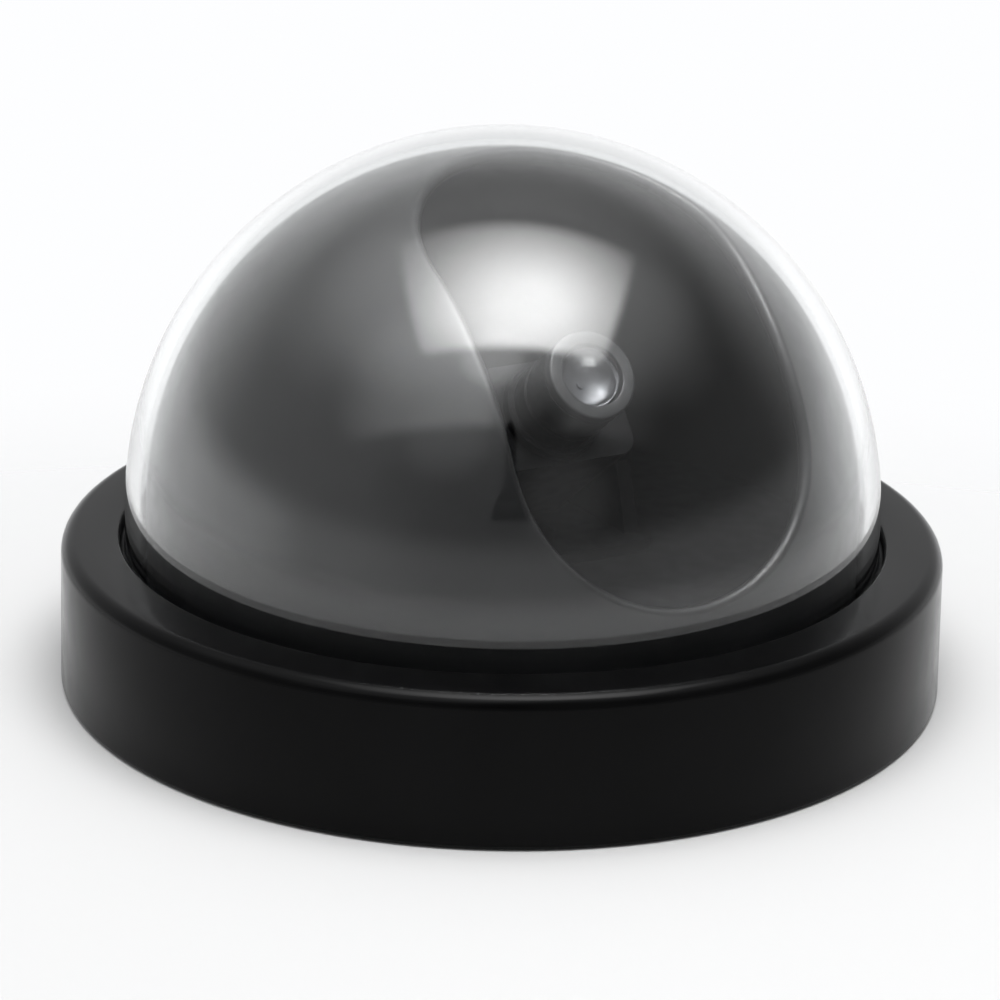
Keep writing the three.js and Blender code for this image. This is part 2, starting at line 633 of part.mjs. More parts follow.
function yoke() {
  const reach = YOKE_ARM_INNER + YOKE_ARM_THICKNESS;
  return carve([
    block(-reach, reach, -10.5, 10.5, yokeBaseFoot, yokeBaseTop), yokeArm(1), yokeArm(-1),
  ], [
    disc(7.4, yokeBaseFoot - 1, yokeBaseTop + 1, ROUND.medium),
    alongX(disc(1.75, -reach - 1, reach + 1, ROUND.small)).translate(0, 0, TILT_AXIS_Z),
    ...yokeScrews.map(([x, y]) => disc(1.4, yokeBaseFoot - 1, yokeBaseTop + 1, ROUND.tiny, x, y)),
  ]);
}

function liner() {
  const inner = LINER_RADIUS - LINER_WALL;
  const shell = revolve([
    ...roundProfile(0, DOME_CENTRE_Z, LINER_RADIUS, 90, 0, DOME_STEPS), [LINER_RADIUS, LINER_FOOT_Z],
    [inner, LINER_FOOT_Z], ...roundProfile(0, DOME_CENTRE_Z, inner, 0, 90, DOME_STEPS),
  ], ROUND.huge);
  const footLow = linerPostTop + 0.2;
  const feet = linerFeet.map((angle) => {
    const foot = block(linerFootRadius - 3, inner + 0.5, -3.4, 3.4, footLow, footLow + 1.8);
    return foot.rotateZ(angle * DEG);
  });
  const footHoles = linerFeet.map((angle) => {
    return disc(1.4, footLow - 1, footLow + 3, ROUND.tiny, ...polar(linerFootRadius, angle));
  });
  const endAngle = Math.asin(SLOT_HALF_WIDTH / LINER_RADIUS) / DEG;
  const [low, high] = [SLOT_LOW + endAngle, SLOT_HIGH - endAngle];
  const reach = LINER_RADIUS + 12;
  const slotEnds = [low, high].map((elevation) => {
    return alongMinusY(disc(SLOT_HALF_WIDTH, 0, reach, ROUND.large)).rotateX(-elevation * DEG);
  });
  const wedge = new THREE.Shape();
  wedge.moveTo(0, 0);
  wedge.lineTo(...polar(reach, low));
  wedge.lineTo(...polar(reach / Math.cos((high - low) / 2 * DEG), (low + high) / 2));
  wedge.lineTo(...polar(reach, high));
  const slotSides = new THREE.ExtrudeGeometry(wedge, { depth: 2 * SLOT_HALF_WIDTH, bevelEnabled: false });
  slotSides.rotateX(90 * DEG).rotateZ(-90 * DEG).translate(SLOT_HALF_WIDTH, 0, 0);
  const cuts = [...slotEnds, slotSides].map((cut) => cut.translate(0, 0, DOME_CENTRE_Z));
  return carve([shell, ...feet], [...footHoles, ...cuts]);
}

place(pan, 'turntable', turntable(), BLACK_MATT);
place(pan, 'liner', liner(), BLACK_GLOSS);
place(pan, 'yoke', yoke(), BLACK_MATT);
linerFeet.forEach((angle, i) => {
  const [x, y] = polar(linerFootRadius, angle);
  place(pan, `liner_screw_${i + 1}`, screw(2.1, 1.4, 1, 5), STEEL, [x, y, linerPostTop + 2.1]);
});
yokeScrews.forEach(([x, y], i) => {
  place(pan, `yoke_screw_${i + 1}`, screw(2.1, 1.4, 1, 3), STEEL, [x, y, yokeBaseTop + 0.1]);
});

// ---- camera unit: everything is drawn with the lens axis along -Y -------------------------
const pivotBossReach = 13.8;
const rearScrews = [[8.2, 4.5], [-8.2, -4.5]];

// A round pin along Y at each rear screw.
function atRearScrews(radius, from, to) {
  return rearScrews.map(([x, z]) => alongPlusY(disc(radius, from, to, ROUND.tiny)).translate(x, 0, z));
}

function cameraBody() {
  const wall = 1.5;
  const posts = atRearScrews(2, -3, BODY_REAR - 0.1);
  const pilots = atRearScrews(1, 0, BODY_REAR + 1);
  const hollow = roundedBlockY(
    BODY_HALF_WIDTH - wall, BODY_HALF_HEIGHT - wall, 1.2, BODY_FRONT + 2, BODY_REAR + 1,
  );
  const shell = carve([
    roundedBlockY(BODY_HALF_WIDTH, BODY_HALF_HEIGHT, 2.4, BODY_FRONT, BODY_REAR),
    alongX(disc(4.4, -pivotBossReach, pivotBossReach, ROUND.small)),
  ], [hollow]);
  const bridge = alongX(disc(2.8, 5, 12, ROUND.tiny));
  const otherBridge = alongX(disc(2.8, -12, -5, ROUND.tiny));
  return carve([shell, bridge, otherBridge, ...posts], [
    ...pilots,
    alongX(disc(1.65, 6, 15, ROUND.small)),
    alongX(disc(1.65, -15, -6, ROUND.small)),
    alongMinusY(disc(5.2, 12, 16, ROUND.medium)),
  ]);
}

function rearCover() {
  return carve(
    [roundedBlockY(BODY_HALF_WIDTH, BODY_HALF_HEIGHT, 2.4, BODY_REAR + 0.1, BODY_REAR + 1.4)],
    [...atRearScrews(1.25, 4, 9), alongPlusY(disc(1.7, 4, 9, ROUND.tiny))],
  );
}

// Lathe profiles below run forward along the lens axis: [radius, distance from the tilt axis].
const forward = (profile, segments) => alongMinusY(revolve(profile, segments));

function lensBarrel() {
  const seat = -BODY_FRONT + 0.1;
  const front = -BARREL_FRONT;
  return forward([
    [5, seat - 1.6], [5, seat], [6.8, seat], [6.8, seat + 1.6], [6.5, seat + 1.9],
    [BARREL_RADIUS, seat + 1.9], [BARREL_RADIUS, seat + 5], [5.7, seat + 5.2], [5.7, seat + 5.8],
    [BARREL_RADIUS, seat + 6], [BARREL_RADIUS, front], [4.8, front],
    [4.8, seat + 3.4], [4, seat + 3.2], [4, seat - 1.6], [5, seat - 1.6],
  ], ROUND.medium);
}

function lensBezel() {
  const front = -BEZEL_FRONT;
  const foot = -BARREL_FRONT + 0.1;
  const inner = LED_RADIUS + 0.25;
  return forward([
    [inner, foot], [BARREL_RADIUS, foot], [BARREL_RADIUS, front - 0.3], [BARREL_RADIUS - 0.3, front],
    [inner + 0.2, front], [inner, front - 0.2], [inner, foot],
  ], ROUND.medium);
}

function clearLed() {
  const nose = -LED_CENTRE;
  const flange = nose - 6.6;
  return forward([
    [0, flange], [4.55, flange], [4.55, flange + 1.4], [LED_RADIUS, flange + 1.4],
    ...roundProfile(0, nose, LED_RADIUS, 0, 90, 5),
  ], ROUND.medium);
}

place(tilt, 'camera_body', cameraBody(), BLACK_MATT);
place(tilt, 'rear_cover', rearCover(), BLACK_MATT);
place(tilt, 'lens_barrel', lensBarrel(), BLACK_MATT);
place(tilt, 'lens_bezel', lensBezel(), BLACK_GLOSS);
place(tilt, 'clear_led', clearLed(), CLEAR);
place(tilt, 'led_board', carve(
  [alongMinusY(disc(5.2, 7.4, 8.6, ROUND.small))],
  [1.27, -1.27].map((x) => alongMinusY(disc(0.5, 6, 10, ROUND.wire)).translate(x, 0, 0)),
), BOARD_GREEN);
['led_lead_anode', 'led_lead_cathode'].forEach((name, i) => {
  const x = i === 0 ? 1.27 : -1.27;
  place(tilt, name, alongMinusY(disc(0.3, 6.6, -LED_CENTRE - 6.7, ROUND.wire)), NICKEL, [x, 0, 0]);
});
place(tilt, 'cable_grommet', alongPlusY(revolve([
  [0.95, 5.9], [1.5, 5.9], [1.5, 7.2], [2.4, 7.2], [2.2, 8.6], [0.95, 8.6], [0.95, 5.9],
], ROUND.tiny)), RUBBER_BLACK);
rearScrews.forEach(([x, z], i) => {
  const rearScrew = alongPlusY(screw(1.8, 1.1, 0.8, 4.4));
  place(tilt, `rear_screw_${i + 1}`, rearScrew, STEEL, [x, BODY_REAR + 1.5, z]);
});
[['right', 1, alongX], ['left', -1, alongMinusX]].forEach(([sideName, side, turn]) => {
  const washer = turn(ring(1.7, 3.6, pivotBossReach + 0.1, YOKE_ARM_INNER - 0.2, ROUND.small));
  const pivot = turn(screw(3, 1.8, 1.5, 8.4));
  const seat = side * (YOKE_ARM_INNER + YOKE_ARM_THICKNESS + GAP);
  place(tilt, `tilt_washer_${sideName}`, washer, NYLON);
  place(tilt, `tilt_screw_${sideName}`, pivot, STEEL, [seat, 0, 0]);
});

export default object;
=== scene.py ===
import json
import math

import bmesh
import bpy
import numpy as np
from mathutils import Matrix, Vector


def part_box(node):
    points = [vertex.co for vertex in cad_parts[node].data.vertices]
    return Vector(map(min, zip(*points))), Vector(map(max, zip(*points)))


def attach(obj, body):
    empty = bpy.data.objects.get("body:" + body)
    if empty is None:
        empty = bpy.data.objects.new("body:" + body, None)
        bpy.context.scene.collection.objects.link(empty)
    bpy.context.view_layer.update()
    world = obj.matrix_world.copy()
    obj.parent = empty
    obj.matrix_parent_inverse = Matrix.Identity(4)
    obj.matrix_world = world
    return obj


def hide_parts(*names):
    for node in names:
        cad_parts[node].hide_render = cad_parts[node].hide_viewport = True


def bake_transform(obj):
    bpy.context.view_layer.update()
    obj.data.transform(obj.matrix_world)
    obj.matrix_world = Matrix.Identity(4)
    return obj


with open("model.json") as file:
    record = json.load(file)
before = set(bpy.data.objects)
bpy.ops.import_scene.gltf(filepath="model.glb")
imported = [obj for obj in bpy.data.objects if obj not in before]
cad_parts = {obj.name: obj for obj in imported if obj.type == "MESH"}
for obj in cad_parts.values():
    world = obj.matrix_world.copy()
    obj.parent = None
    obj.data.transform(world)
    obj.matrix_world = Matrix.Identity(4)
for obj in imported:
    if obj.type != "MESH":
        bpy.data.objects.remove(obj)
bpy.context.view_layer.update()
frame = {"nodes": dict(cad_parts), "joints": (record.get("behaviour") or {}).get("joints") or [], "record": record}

# ---- sizes, in metres ------------------------------------------------------------------------
MM = 0.001
RING_LOW, RING_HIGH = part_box("outer_ring")
DOME_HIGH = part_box("clear_dome")[1]
LINER_LOW, LINER_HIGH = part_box("liner")
CLAMP_LOW, CLAMP_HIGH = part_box("dome_clamp_ring")

BASE_RADIUS = RING_HIGH.x
RING_TOP = RING_HIGH.z
RING_TOP_RADIUS = BASE_RADIUS - 0.4 * MM
RING_INNER_RADIUS = BASE_RADIUS - 2.5 * MM
RING_CEILING = RING_TOP - 2.2 * MM
RING_HOLE_RADIUS = 51.75 * MM

DOME_CENTRE_Z = 23.5 * MM
DOME_RADIUS = DOME_HIGH.z - DOME_CENTRE_Z
DOME_WALL = 2 * MM
DOME_SKIRT_TOP = DOME_CENTRE_Z - 2 * MM
LINER_RADIUS = LINER_HIGH.x
LINER_WALL = 1.7 * MM
SLOT_HALF_WIDTH = 20.3 * MM
SLOT_LOW = math.radians(2)
SLOT_HIGH = math.radians(91)

BODY_OF_NODE = {
    node: body for body, nodes in frame["record"]["behaviour"]["bodies"].items() for node in nodes
}
SLOT_OF_NODE = {row["node"]: row["material_slot"] for row in frame["record"]["subparts"]}

joints = {joint["name"]: joint for joint in frame["joints"]}
tilt_joint = joints["lens_tilt"]
TILT_CENTRE = Vector(tilt_joint["pos_m"])
TILT_AXIS = Vector(tilt_joint["axis"]).normalized()
PAN_REST = math.atan2(-TILT_AXIS.y, -TILT_AXIS.x)
TILT_REST = math.radians(38)
FORWARD = Vector((math.sin(PAN_REST), -math.cos(PAN_REST), 0))
LENS_AXIS = (FORWARD * math.cos(TILT_REST) + Vector((0, 0, math.sin(TILT_REST)))).normalized()


# ---- mesh helpers ----------------------------------------------------------------------------
ON_AXIS = 1e-9                         # radii below this count as zero


def arc(centre_r, centre_z, radius, start, end, steps):
    """Points [r, z] on an arc, angles in degrees."""
    angles = np.radians(np.linspace(start, end, steps + 1))
    return [(centre_r + radius * math.cos(a), centre_z + radius * math.sin(a)) for a in angles]


def link(name, mesh):
    piece = bpy.data.objects.new(name, mesh)
    bpy.context.scene.collection.objects.link(piece)
    return piece


def mesh_from(name, points, faces):
    mesh = bpy.data.meshes.new(name)
    mesh.from_pydata([tuple(p) for p in points], [], faces)
    mesh.validate()
    work = bmesh.new()
    work.from_mesh(mesh)
    bmesh.ops.recalc_face_normals(work, faces=work.faces)
    work.to_mesh(mesh)
    work.free()
    return mesh


def shade(piece, angle=35):
    """Smooth shading, with edges sharper than the angle left crisp."""
    piece.data.shade_smooth()
    piece.data.set_sharp_from_angle(angle=math.radians(angle))
    return piece


def revolve(name, profile, segments):
    """Turns a profile of (r, z) about Z: a solid if it starts and ends on the axis, otherwise a ring."""
    points, faces, rows = [], [], []
    for r, z in profile:
        if r < ON_AXIS:
            rows.append([len(points)])
            points.append((0, 0, z))
            continue
        rows.append(list(range(len(points), len(points) + segments)))
        for k in range(segments):
            a = 2 * math.pi * k / segments
            points.append((r * math.cos(a), r * math.sin(a), z))
    pairs = list(zip(rows, rows[1:]))
    if profile[0][0] > ON_AXIS:
        pairs.append((rows[-1], rows[0]))
    for low, high in pairs:
        for k in range(segments):
            j = (k + 1) % segments
            if len(low) == 1 and len(high) == 1:
                break
            if len(low) == 1:
                faces.append((low[0], high[k], high[j]))
            elif len(high) == 1:
                faces.append((low[k], low[j], high[0]))
            else:
                faces.append((low[k], low[j], high[j], high[k]))
    return link(name, mesh_from(name, points, faces))


def prism(name, outline, other_outline):
    """Solid between two matching outlines."""
    count = len(outline)
    faces = [tuple(range(count)), tuple(range(count, 2 * count))]
    faces += [(i, (i + 1) % count, (i + 1) % count + count, i + count) for i in range(count)]
    return link(name, mesh_from(name, outline + other_outline, faces))


def apply_modifiers(piece):
    """Turns the piece's modifiers into its mesh."""
    graph = bpy.context.evaluated_depsgraph_get()
    graph.update()
    mesh = bpy.data.meshes.new_from_object(piece.evaluated_get(graph), depsgraph=graph)
    old = piece.data
    piece.modifiers.clear()
    piece.data = mesh
    mesh.name = piece.name
    bpy.data.meshes.remove(old)
    return piece


def combine(piece, others, operation):
    """Joins or cuts the piece with other objects, which are used up."""
    for other in others:
        modifier = piece.modifiers.new(other.name, "BOOLEAN")
        modifier.operation = operation
        modifier.object = other
        modifier.solver = "EXACT"
    apply_modifiers(piece)
    for other in others:
        bpy.data.objects.remove(other)
    return piece


def rod(name, radius, low, high, segments=48):
    return revolve(name, [(0, low), (radius, low), (radius, high), (0, high)], segments)


def turn_to(piece, direction, origin):
    """Moves a piece made about +Z so that +Z points along direction from origin."""
    rotation = Vector(direction).to_track_quat("Z", "Y").to_matrix().to_4x4()
    piece.data.transform(Matrix.Translation(origin) @ rotation)
    return piece


# ---- material helpers ------------------------------------------------------------------------
class Look:
    """A node material under construction. Textures use object space, in metres."""

    def __init__(self, name, colour, roughness, metallic=0.0):
        self.slot = name
        self.material = bpy.data.materials.new(name)
        self.material.use_nodes = True
        self.tree = self.material.node_tree
        self.shader = self.tree.nodes["Principled BSDF"]
        self.output = self.tree.nodes["Material Output"]
        self.place = self.node("ShaderNodeTexCoord").outputs["Object"]
        self.colour = colour
        self.shader.inputs["Base Color"].default_value = (*colour, 1)
        self.shader.inputs["Roughness"].default_value = roughness
        self.shader.inputs["Metallic"].default_value = metallic

    def node(self, kind, **settings):
        made = self.tree.nodes.new(kind)
        for key, value in settings.items():
            setattr(made, key, value)
        return made

    def wire(self, source, target):
        self.tree.links.new(source, target)

    def noise(self, size, detail=3.0, shift=0.0):
        """Noise whose features are about size metres wide, shifted by that many metres along every axis."""
        mapping = self.node("ShaderNodeMapping")
        mapping.inputs["Location"].default_value = (shift, shift, shift)
        self.wire(self.place, mapping.inputs["Vector"])
        texture = self.node("ShaderNodeTexNoise")
        texture.inputs["Scale"].default_value = 1 / size
        texture.inputs["Detail"].default_value = detail
        self.wire(mapping.outputs["Vector"], texture.inputs["Vector"])
        return texture.outputs["Fac"]

    def spread(self, value, low, high, start=0.3, end=0.7):
        """Maps a texture value between start and end onto low to high."""
        span = self.node("ShaderNodeMapRange", interpolation_type="SMOOTHSTEP")
        span.inputs["From Min"].default_value = start
        span.inputs["From Max"].default_value = end
        span.inputs["To Min"].default_value = low
        span.inputs["To Max"].default_value = high
        self.wire(value, span.inputs["Value"])
        return span.outputs["Result"]

    def mix_colour(self, factor, first, second):
        mix = self.node("ShaderNodeMix", data_type="RGBA")
        self.wire(factor, mix.inputs["Factor"])
        for socket, value in ((mix.inputs["A"], first), (mix.inputs["B"], second)):
            if isinstance(value, tuple):
                socket.default_value = (*value, 1)
            else:
                self.wire(value, socket)
        return mix.outputs["Result"]

    def tint(self, colour_socket):
        self.wire(colour_socket, self.shader.inputs["Base Color"])

    def rough(self, value_socket):
        self.wire(value_socket, self.shader.inputs["Roughness"])

    def bump(self, height, depth, strength=1.0):
        """Bump whose full height range is depth metres."""
        bump = self.node("ShaderNodeBump")
        bump.inputs["Strength"].default_value = strength
        bump.inputs["Distance"].default_value = depth
        self.wire(height, bump.inputs["Height"])
        self.wire(bump.outputs["Normal"], self.shader.inputs["Normal"])


def scaled(colour, factor):
    return tuple(min(1.0, channel * factor) for channel in colour)


def plastic(name, colour, rough_low, rough_high, grain=0.25 * MM, grain_depth=0.006 * MM, shine=0.5):
    """Moulded plastic with a fine grain and broad changes of tone and sheen."""
    look = Look(name, colour, (rough_low + rough_high) / 2)
    broad = look.noise(14 * MM)
    tone = look.mix_colour(look.spread(broad, 0, 1), scaled(colour, 0.8), scaled(colour, 1.25))
    fine = look.noise(grain, 2)
    sheen = look.noise(3 * MM, 4)
    look.rough(look.spread(sheen, rough_low, rough_high))
    look.bump(fine, grain_depth)
    look.tint(tone)
    look.shader.inputs["Specular IOR Level"].default_value = shine
    return look


def metal(name, colour, rough_low, rough_high):
    look = Look(name, colour, (rough_low + rough_high) / 2, 1.0)
    look.rough(look.spread(look.noise(0.8 * MM, 4), rough_low, rough_high))
    broad = look.noise(2 * MM)
    look.tint(look.mix_colour(look.spread(broad, 0, 1), scaled(colour, 0.82), scaled(colour, 1.08)))
    look.bump(look.noise(0.15 * MM, 2), 0.004 * MM)
    return look


WAVE_LENGTH = 130 * MM                 # one slow wave over the whole dome


def clear_plastic(name, colour, ior, smear_low, smear_high):
    """Clear moulded plastic that lets lamp light through to what is behind it."""
    look = Look(name, colour, smear_low)
    look.shader.inputs["Transmission Weight"].default_value = 1.0
    look.shader.inputs["IOR"].default_value = ior
    look.rough(look.spread(look.noise(9 * MM, 3), smear_low, smear_high))
    look.bump(look.noise(WAVE_LENGTH, 0, WAVE_LENGTH / 2), 0.3 * MM, 0.35)
    ray = look.node("ShaderNodeLightPath")
    through = look.node("ShaderNodeBsdfTransparent")
    through.inputs["Color"].default_value = (0.88, 0.89, 0.9, 1)
    mix = look.node("ShaderNodeMixShader")
    look.wire(ray.outputs["Is Shadow Ray"], mix.inputs["Fac"])
    look.wire(look.shader.outputs["BSDF"], mix.inputs[1])
    look.wire(through.outputs["BSDF"], mix.inputs[2])
    look.wire(mix.outputs["Shader"], look.output.inputs["Surface"])
    return look


def coat(piece, look):
    piece.data.materials.clear()
    piece.data.materials.append(look.material)
    return piece


BLACK = (0.0035, 0.0035, 0.0037)
SATIN_BLACK = plastic("satin_black_plastic", scaled(BLACK, 0.5), 0.13, 0.19, shine=0.08)
GLOSS_BLACK = plastic("gloss_black_plastic", BLACK, 0.28, 0.36, 0.6 * MM, 0.002 * MM)
MATT_BLACK = plastic("matt_black_plastic", BLACK, 0.48, 0.62, shine=0.12)
BEZEL_BLACK = plastic("bezel_black_plastic", (0.012, 0.012, 0.0125), 0.28, 0.36, 0.4 * MM, 0.003 * MM)
CLEAR_DOME = clear_plastic("clear_acrylic", (0.965, 0.975, 0.975), 1.49, 0.03, 0.045)
CLEAR_EPOXY = clear_plastic("clear_epoxy", (0.98, 0.985, 1.0), 1.52, 0.03, 0.04)
ZINC = metal("zinc_steel", (0.62, 0.62, 0.63), 0.28, 0.4)
NICKEL = metal("nickel", (0.68, 0.65, 0.59), 0.28, 0.38)
SILVER = metal("silver_plate", (0.14, 0.14, 0.145), 0.3, 0.4)
NYLON = plastic("white_nylon", (0.78, 0.76, 0.70), 0.42, 0.55)
JACKET = plastic("cell_jacket", (0.045, 0.06, 0.09), 0.28, 0.36)
BOARD = plastic("board", (0.025, 0.17, 0.07), 0.3, 0.45, 1.2 * MM, 0.02 * MM)
CHIP = plastic("chip_black", (0.018, 0.018, 0.02), 0.5, 0.6)
SLEEVE = plastic("capacitor_sleeve", (0.02, 0.035, 0.17), 0.28, 0.36)
LACQUER = plastic("resistor_body", (0.6, 0.44, 0.24), 0.35, 0.5)
RED_WIRE = plastic("red_insulation", (0.45, 0.015, 0.012), 0.4, 0.5)
BLACK_WIRE = plastic("black_insulation", (0.02, 0.02, 0.02), 0.45, 0.55)
RUBBER = plastic("black_rubber", (0.022, 0.022, 0.022), 0.7, 0.85)
LOOK_OF_SLOT = {look.slot: look for look in (
    SATIN_BLACK, GLOSS_BLACK, MATT_BLACK, CLEAR_EPOXY, ZINC, NICKEL, NYLON, JACKET, BOARD, CHIP, SLEEVE,
    LACQUER, RED_WIRE, BLACK_WIRE, RUBBER,
)}
LOOK_OF_SLOT["clear_plastic"] = CLEAR_DOME


def dress_cad_nodes():
    """Every CAD node that stays gets its slot's material, softened edges and crisp shading."""
    for name, node in frame["nodes"].items():
        coat(node, LOOK_OF_SLOT[SLOT_OF_NODE[name]])
        bevel = node.modifiers.new("edges", "BEVEL")
        bevel.width = 0.12 * MM
        bevel.segments = 2
        bevel.limit_method = "ANGLE"
        bevel.angle_limit = math.radians(45)
        bevel.harden_normals = True


def stand_for(piece, node, look=None):
    """The piece takes the place of a CAD node: its body, its finish and its part in the model."""
    coat(piece, look or LOOK_OF_SLOT[SLOT_OF_NODE[node]])
    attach(piece, BODY_OF_NODE[node])
    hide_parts(node)
    return piece


# ---- cover -----------------------------------------------------------------------------------
CLAMP_SCREW_RADIUS = 55.3 * MM
CLAMP_SCREW_ANGLES = (15, 105, 195, 285)
BAYONET_ANGLES = (30, 150, 270)


def on_circle(radius, degrees):
    return radius * math.cos(math.radians(degrees)), radius * math.sin(math.radians(degrees))


def sector(name, inner, outer, start, end, low, high):
    """Piece of a flat ring between two angles in degrees."""
    angles = np.linspace(start, end, 9)
    outline = [on_circle(outer, a) for a in angles] + [on_circle(inner, a) for a in angles[::-1]]
    return prism(name, *([(x, y, z) for x, y in outline] for z in (low, high)))


def moved(piece, x, y):
    piece.data.transform(Matrix.Translation((x, y, 0)))
    return piece


def make_outer_ring():
    edge = 2 * MM
    hole_edge = 0.5 * MM
    foot_edge = 0.5 * MM
    foot = RING_LOW.z
    profile = [(RING_INNER_RADIUS, foot), (BASE_RADIUS - foot_edge, foot)]
    profile += arc(BASE_RADIUS - foot_edge, foot + foot_edge, foot_edge, -75, 0, 4)
    profile += arc(RING_TOP_RADIUS - edge, RING_TOP - edge, edge, 2, 90, 16)
    profile += arc(RING_HOLE_RADIUS + hole_edge, RING_TOP - hole_edge, hole_edge, 90, 180, 6)
    profile += [(RING_HOLE_RADIUS, RING_CEILING), (RING_INNER_RADIUS, RING_CEILING)]
    ring = revolve("outer_ring_shell", profile, 288)
    post_foot = CLAMP_HIGH.z + 0.1 * MM
    posts, pilots, tabs = [], [], []
    for i, angle in enumerate(CLAMP_SCREW_ANGLES):
        x, y = on_circle(CLAMP_SCREW_RADIUS, angle)
        posts.append(moved(rod(f"post_{i}", 2 * MM, post_foot, RING_CEILING + 0.5 * MM, 32), x, y))
        pilots.append(moved(rod(f"pilot_{i}", 1.2 * MM, post_foot - MM, RING_TOP - 1.2 * MM, 24), x, y))
    for i, angle in enumerate(BAYONET_ANGLES):
        tabs.append(sector(
            f"tab_{i}", 54.4 * MM, RING_INNER_RADIUS + 0.6 * MM, angle - 6, angle + 6, 2.9 * MM, 4.5 * MM,
        ))
    combine(ring, posts + tabs, "UNION")
    combine(ring, pilots, "DIFFERENCE")
    stand_for(shade(ring), "outer_ring")
    ring.data.materials.append(MATT_BLACK.material)
    for face in ring.data.polygons:
        inside_hole = math.hypot(face.center.x, face.center.y) < RING_HOLE_RADIUS + 0.2 * MM
        face.material_index = int(inside_hole and face.center.z > RING_CEILING)
    return ring


def make_dome():
    inner = DOME_RADIUS - DOME_WALL
    flange_top = RING_CEILING - 0.2 * MM
    flange = 1.7 * MM
    edge = 0.3 * MM
    flange_radius = DOME_HIGH.x
    outside = arc(0, DOME_CENTRE_Z, DOME_RADIUS, 90, 0, 72)
    outside += [(DOME_RADIUS, DOME_SKIRT_TOP), (DOME_RADIUS, flange_top)]
    outside += arc(flange_radius - edge, flange_top - edge, edge, 90, 0, 4)
    outside += arc(flange_radius - edge, flange_top - flange + edge, edge, 0, -90, 4)
    inside = [(inner, flange_top - flange), (inner, DOME_SKIRT_TOP)]
    inside += arc(0, DOME_CENTRE_Z, inner, 0, 90, 72)
    dome = revolve("clear_dome_shell", outside + inside, 256)
    return stand_for(shade(dome), "clear_dome")


def make_gap_shade_cord():
    """Matt black cord in the foot of the gap between the ring and the dome, put there as painted shade that
    darkens the gap.
    """
    radius = (RING_HOLE_RADIUS - DOME_RADIUS) / 2
    shade_cord = revolve("dome_gap_shade_cord", arc(DOME_RADIUS + radius, RING_CEILING + radius, radius, 0, 315, 7), 256)
    coat(shade_cord, MATT_BLACK)
    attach(shade_cord, "cover")
    return shade(shade_cord, 60)


# ---- liner -----------------------------------------------------------------------------------
def slot_outline(radius, count):
    """Unit directions round the slot's edge, and of its centre. +X is forward, +Y to the side."""
    end = math.asin(SLOT_HALF_WIDTH / radius)
    low, high = SLOT_LOW + end, SLOT_HIGH - end
    reach = math.sqrt(radius ** 2 - SLOT_HALF_WIDTH ** 2)

    def on_side(elevation, side):
        return (reach * math.cos(elevation), side * SLOT_HALF_WIDTH, reach * math.sin(elevation))

    def on_end(elevation, turn):
        ahead = np.array([math.cos(elevation), 0, math.sin(elevation)])
        above = np.array([-math.sin(elevation), 0, math.cos(elevation)])
        across = np.array([0, 1, 0])
        return ahead * reach + (across * math.cos(turn) + above * math.sin(turn)) * SLOT_HALF_WIDTH

    side_length = (high - low) * reach
    end_length = math.pi * SLOT_HALF_WIDTH
    side_count = round(count / 2 * side_length / (side_length + end_length))
    end_count = count // 2 - side_count
    points = [on_side(low + (high - low) * i / side_count, 1) for i in range(side_count)]
    points += [on_end(high, math.pi * i / end_count) for i in range(end_count)]
    points += [on_side(high - (high - low) * i / side_count, -1) for i in range(side_count)]
    points += [on_end(low, math.pi + math.pi * i / end_count) for i in range(end_count)]
    directions = np.array(points) / radius
    middle = (low + high) / 2
    return directions, np.array([math.cos(middle), 0, math.sin(middle)])


LINER_FEET_ANGLES = (90, 210, 330)     # in the liner's own frame
LINER_FOOT_RADIUS = 42.6 * MM
LINER_POST_TOP = 21 * MM


def box_piece(name, low, high):
    """Box between two corners, for cutting and joining."""
    points = [(x, y, z) for x in (low[0], high[0]) for y in (low[1], high[1]) for z in (low[2], high[2])]
    faces = [(0, 1, 3, 2), (4, 6, 7, 5), (0, 4, 5, 1), (2, 3, 7, 6), (0, 2, 6, 4), (1, 5, 7, 3)]
    return link(name, mesh_from(name, points, faces))


def turned(piece, degrees):
    piece.data.transform(Matrix.Rotation(math.radians(degrees), 4, "Z"))
    return piece


def add_liner_feet(liner):
    """Three lugs inside the foot, each with a screw hole."""
    low = LINER_POST_TOP + 0.2 * MM
    pan = math.degrees(PAN_REST)
    feet, holes = [], []
    for i, angle in enumerate(LINER_FEET_ANGLES):
        foot = box_piece(
            f"liner_foot_{i}", (LINER_FOOT_RADIUS - 3 * MM, -3.4 * MM, low),
            (LINER_RADIUS - LINER_WALL + 0.5 * MM, 3.4 * MM, low + 1.8 * MM),
        )
        feet.append(turned(foot, angle + pan))
        hole = rod(f"liner_hole_{i}", 1.4 * MM, low - MM, low + 3 * MM, 32)
        holes.append(moved(hole, *on_circle(LINER_FOOT_RADIUS, angle + pan)))
    combine(liner, feet, "UNION")
    combine(liner, holes, "DIFFERENCE")
    return liner


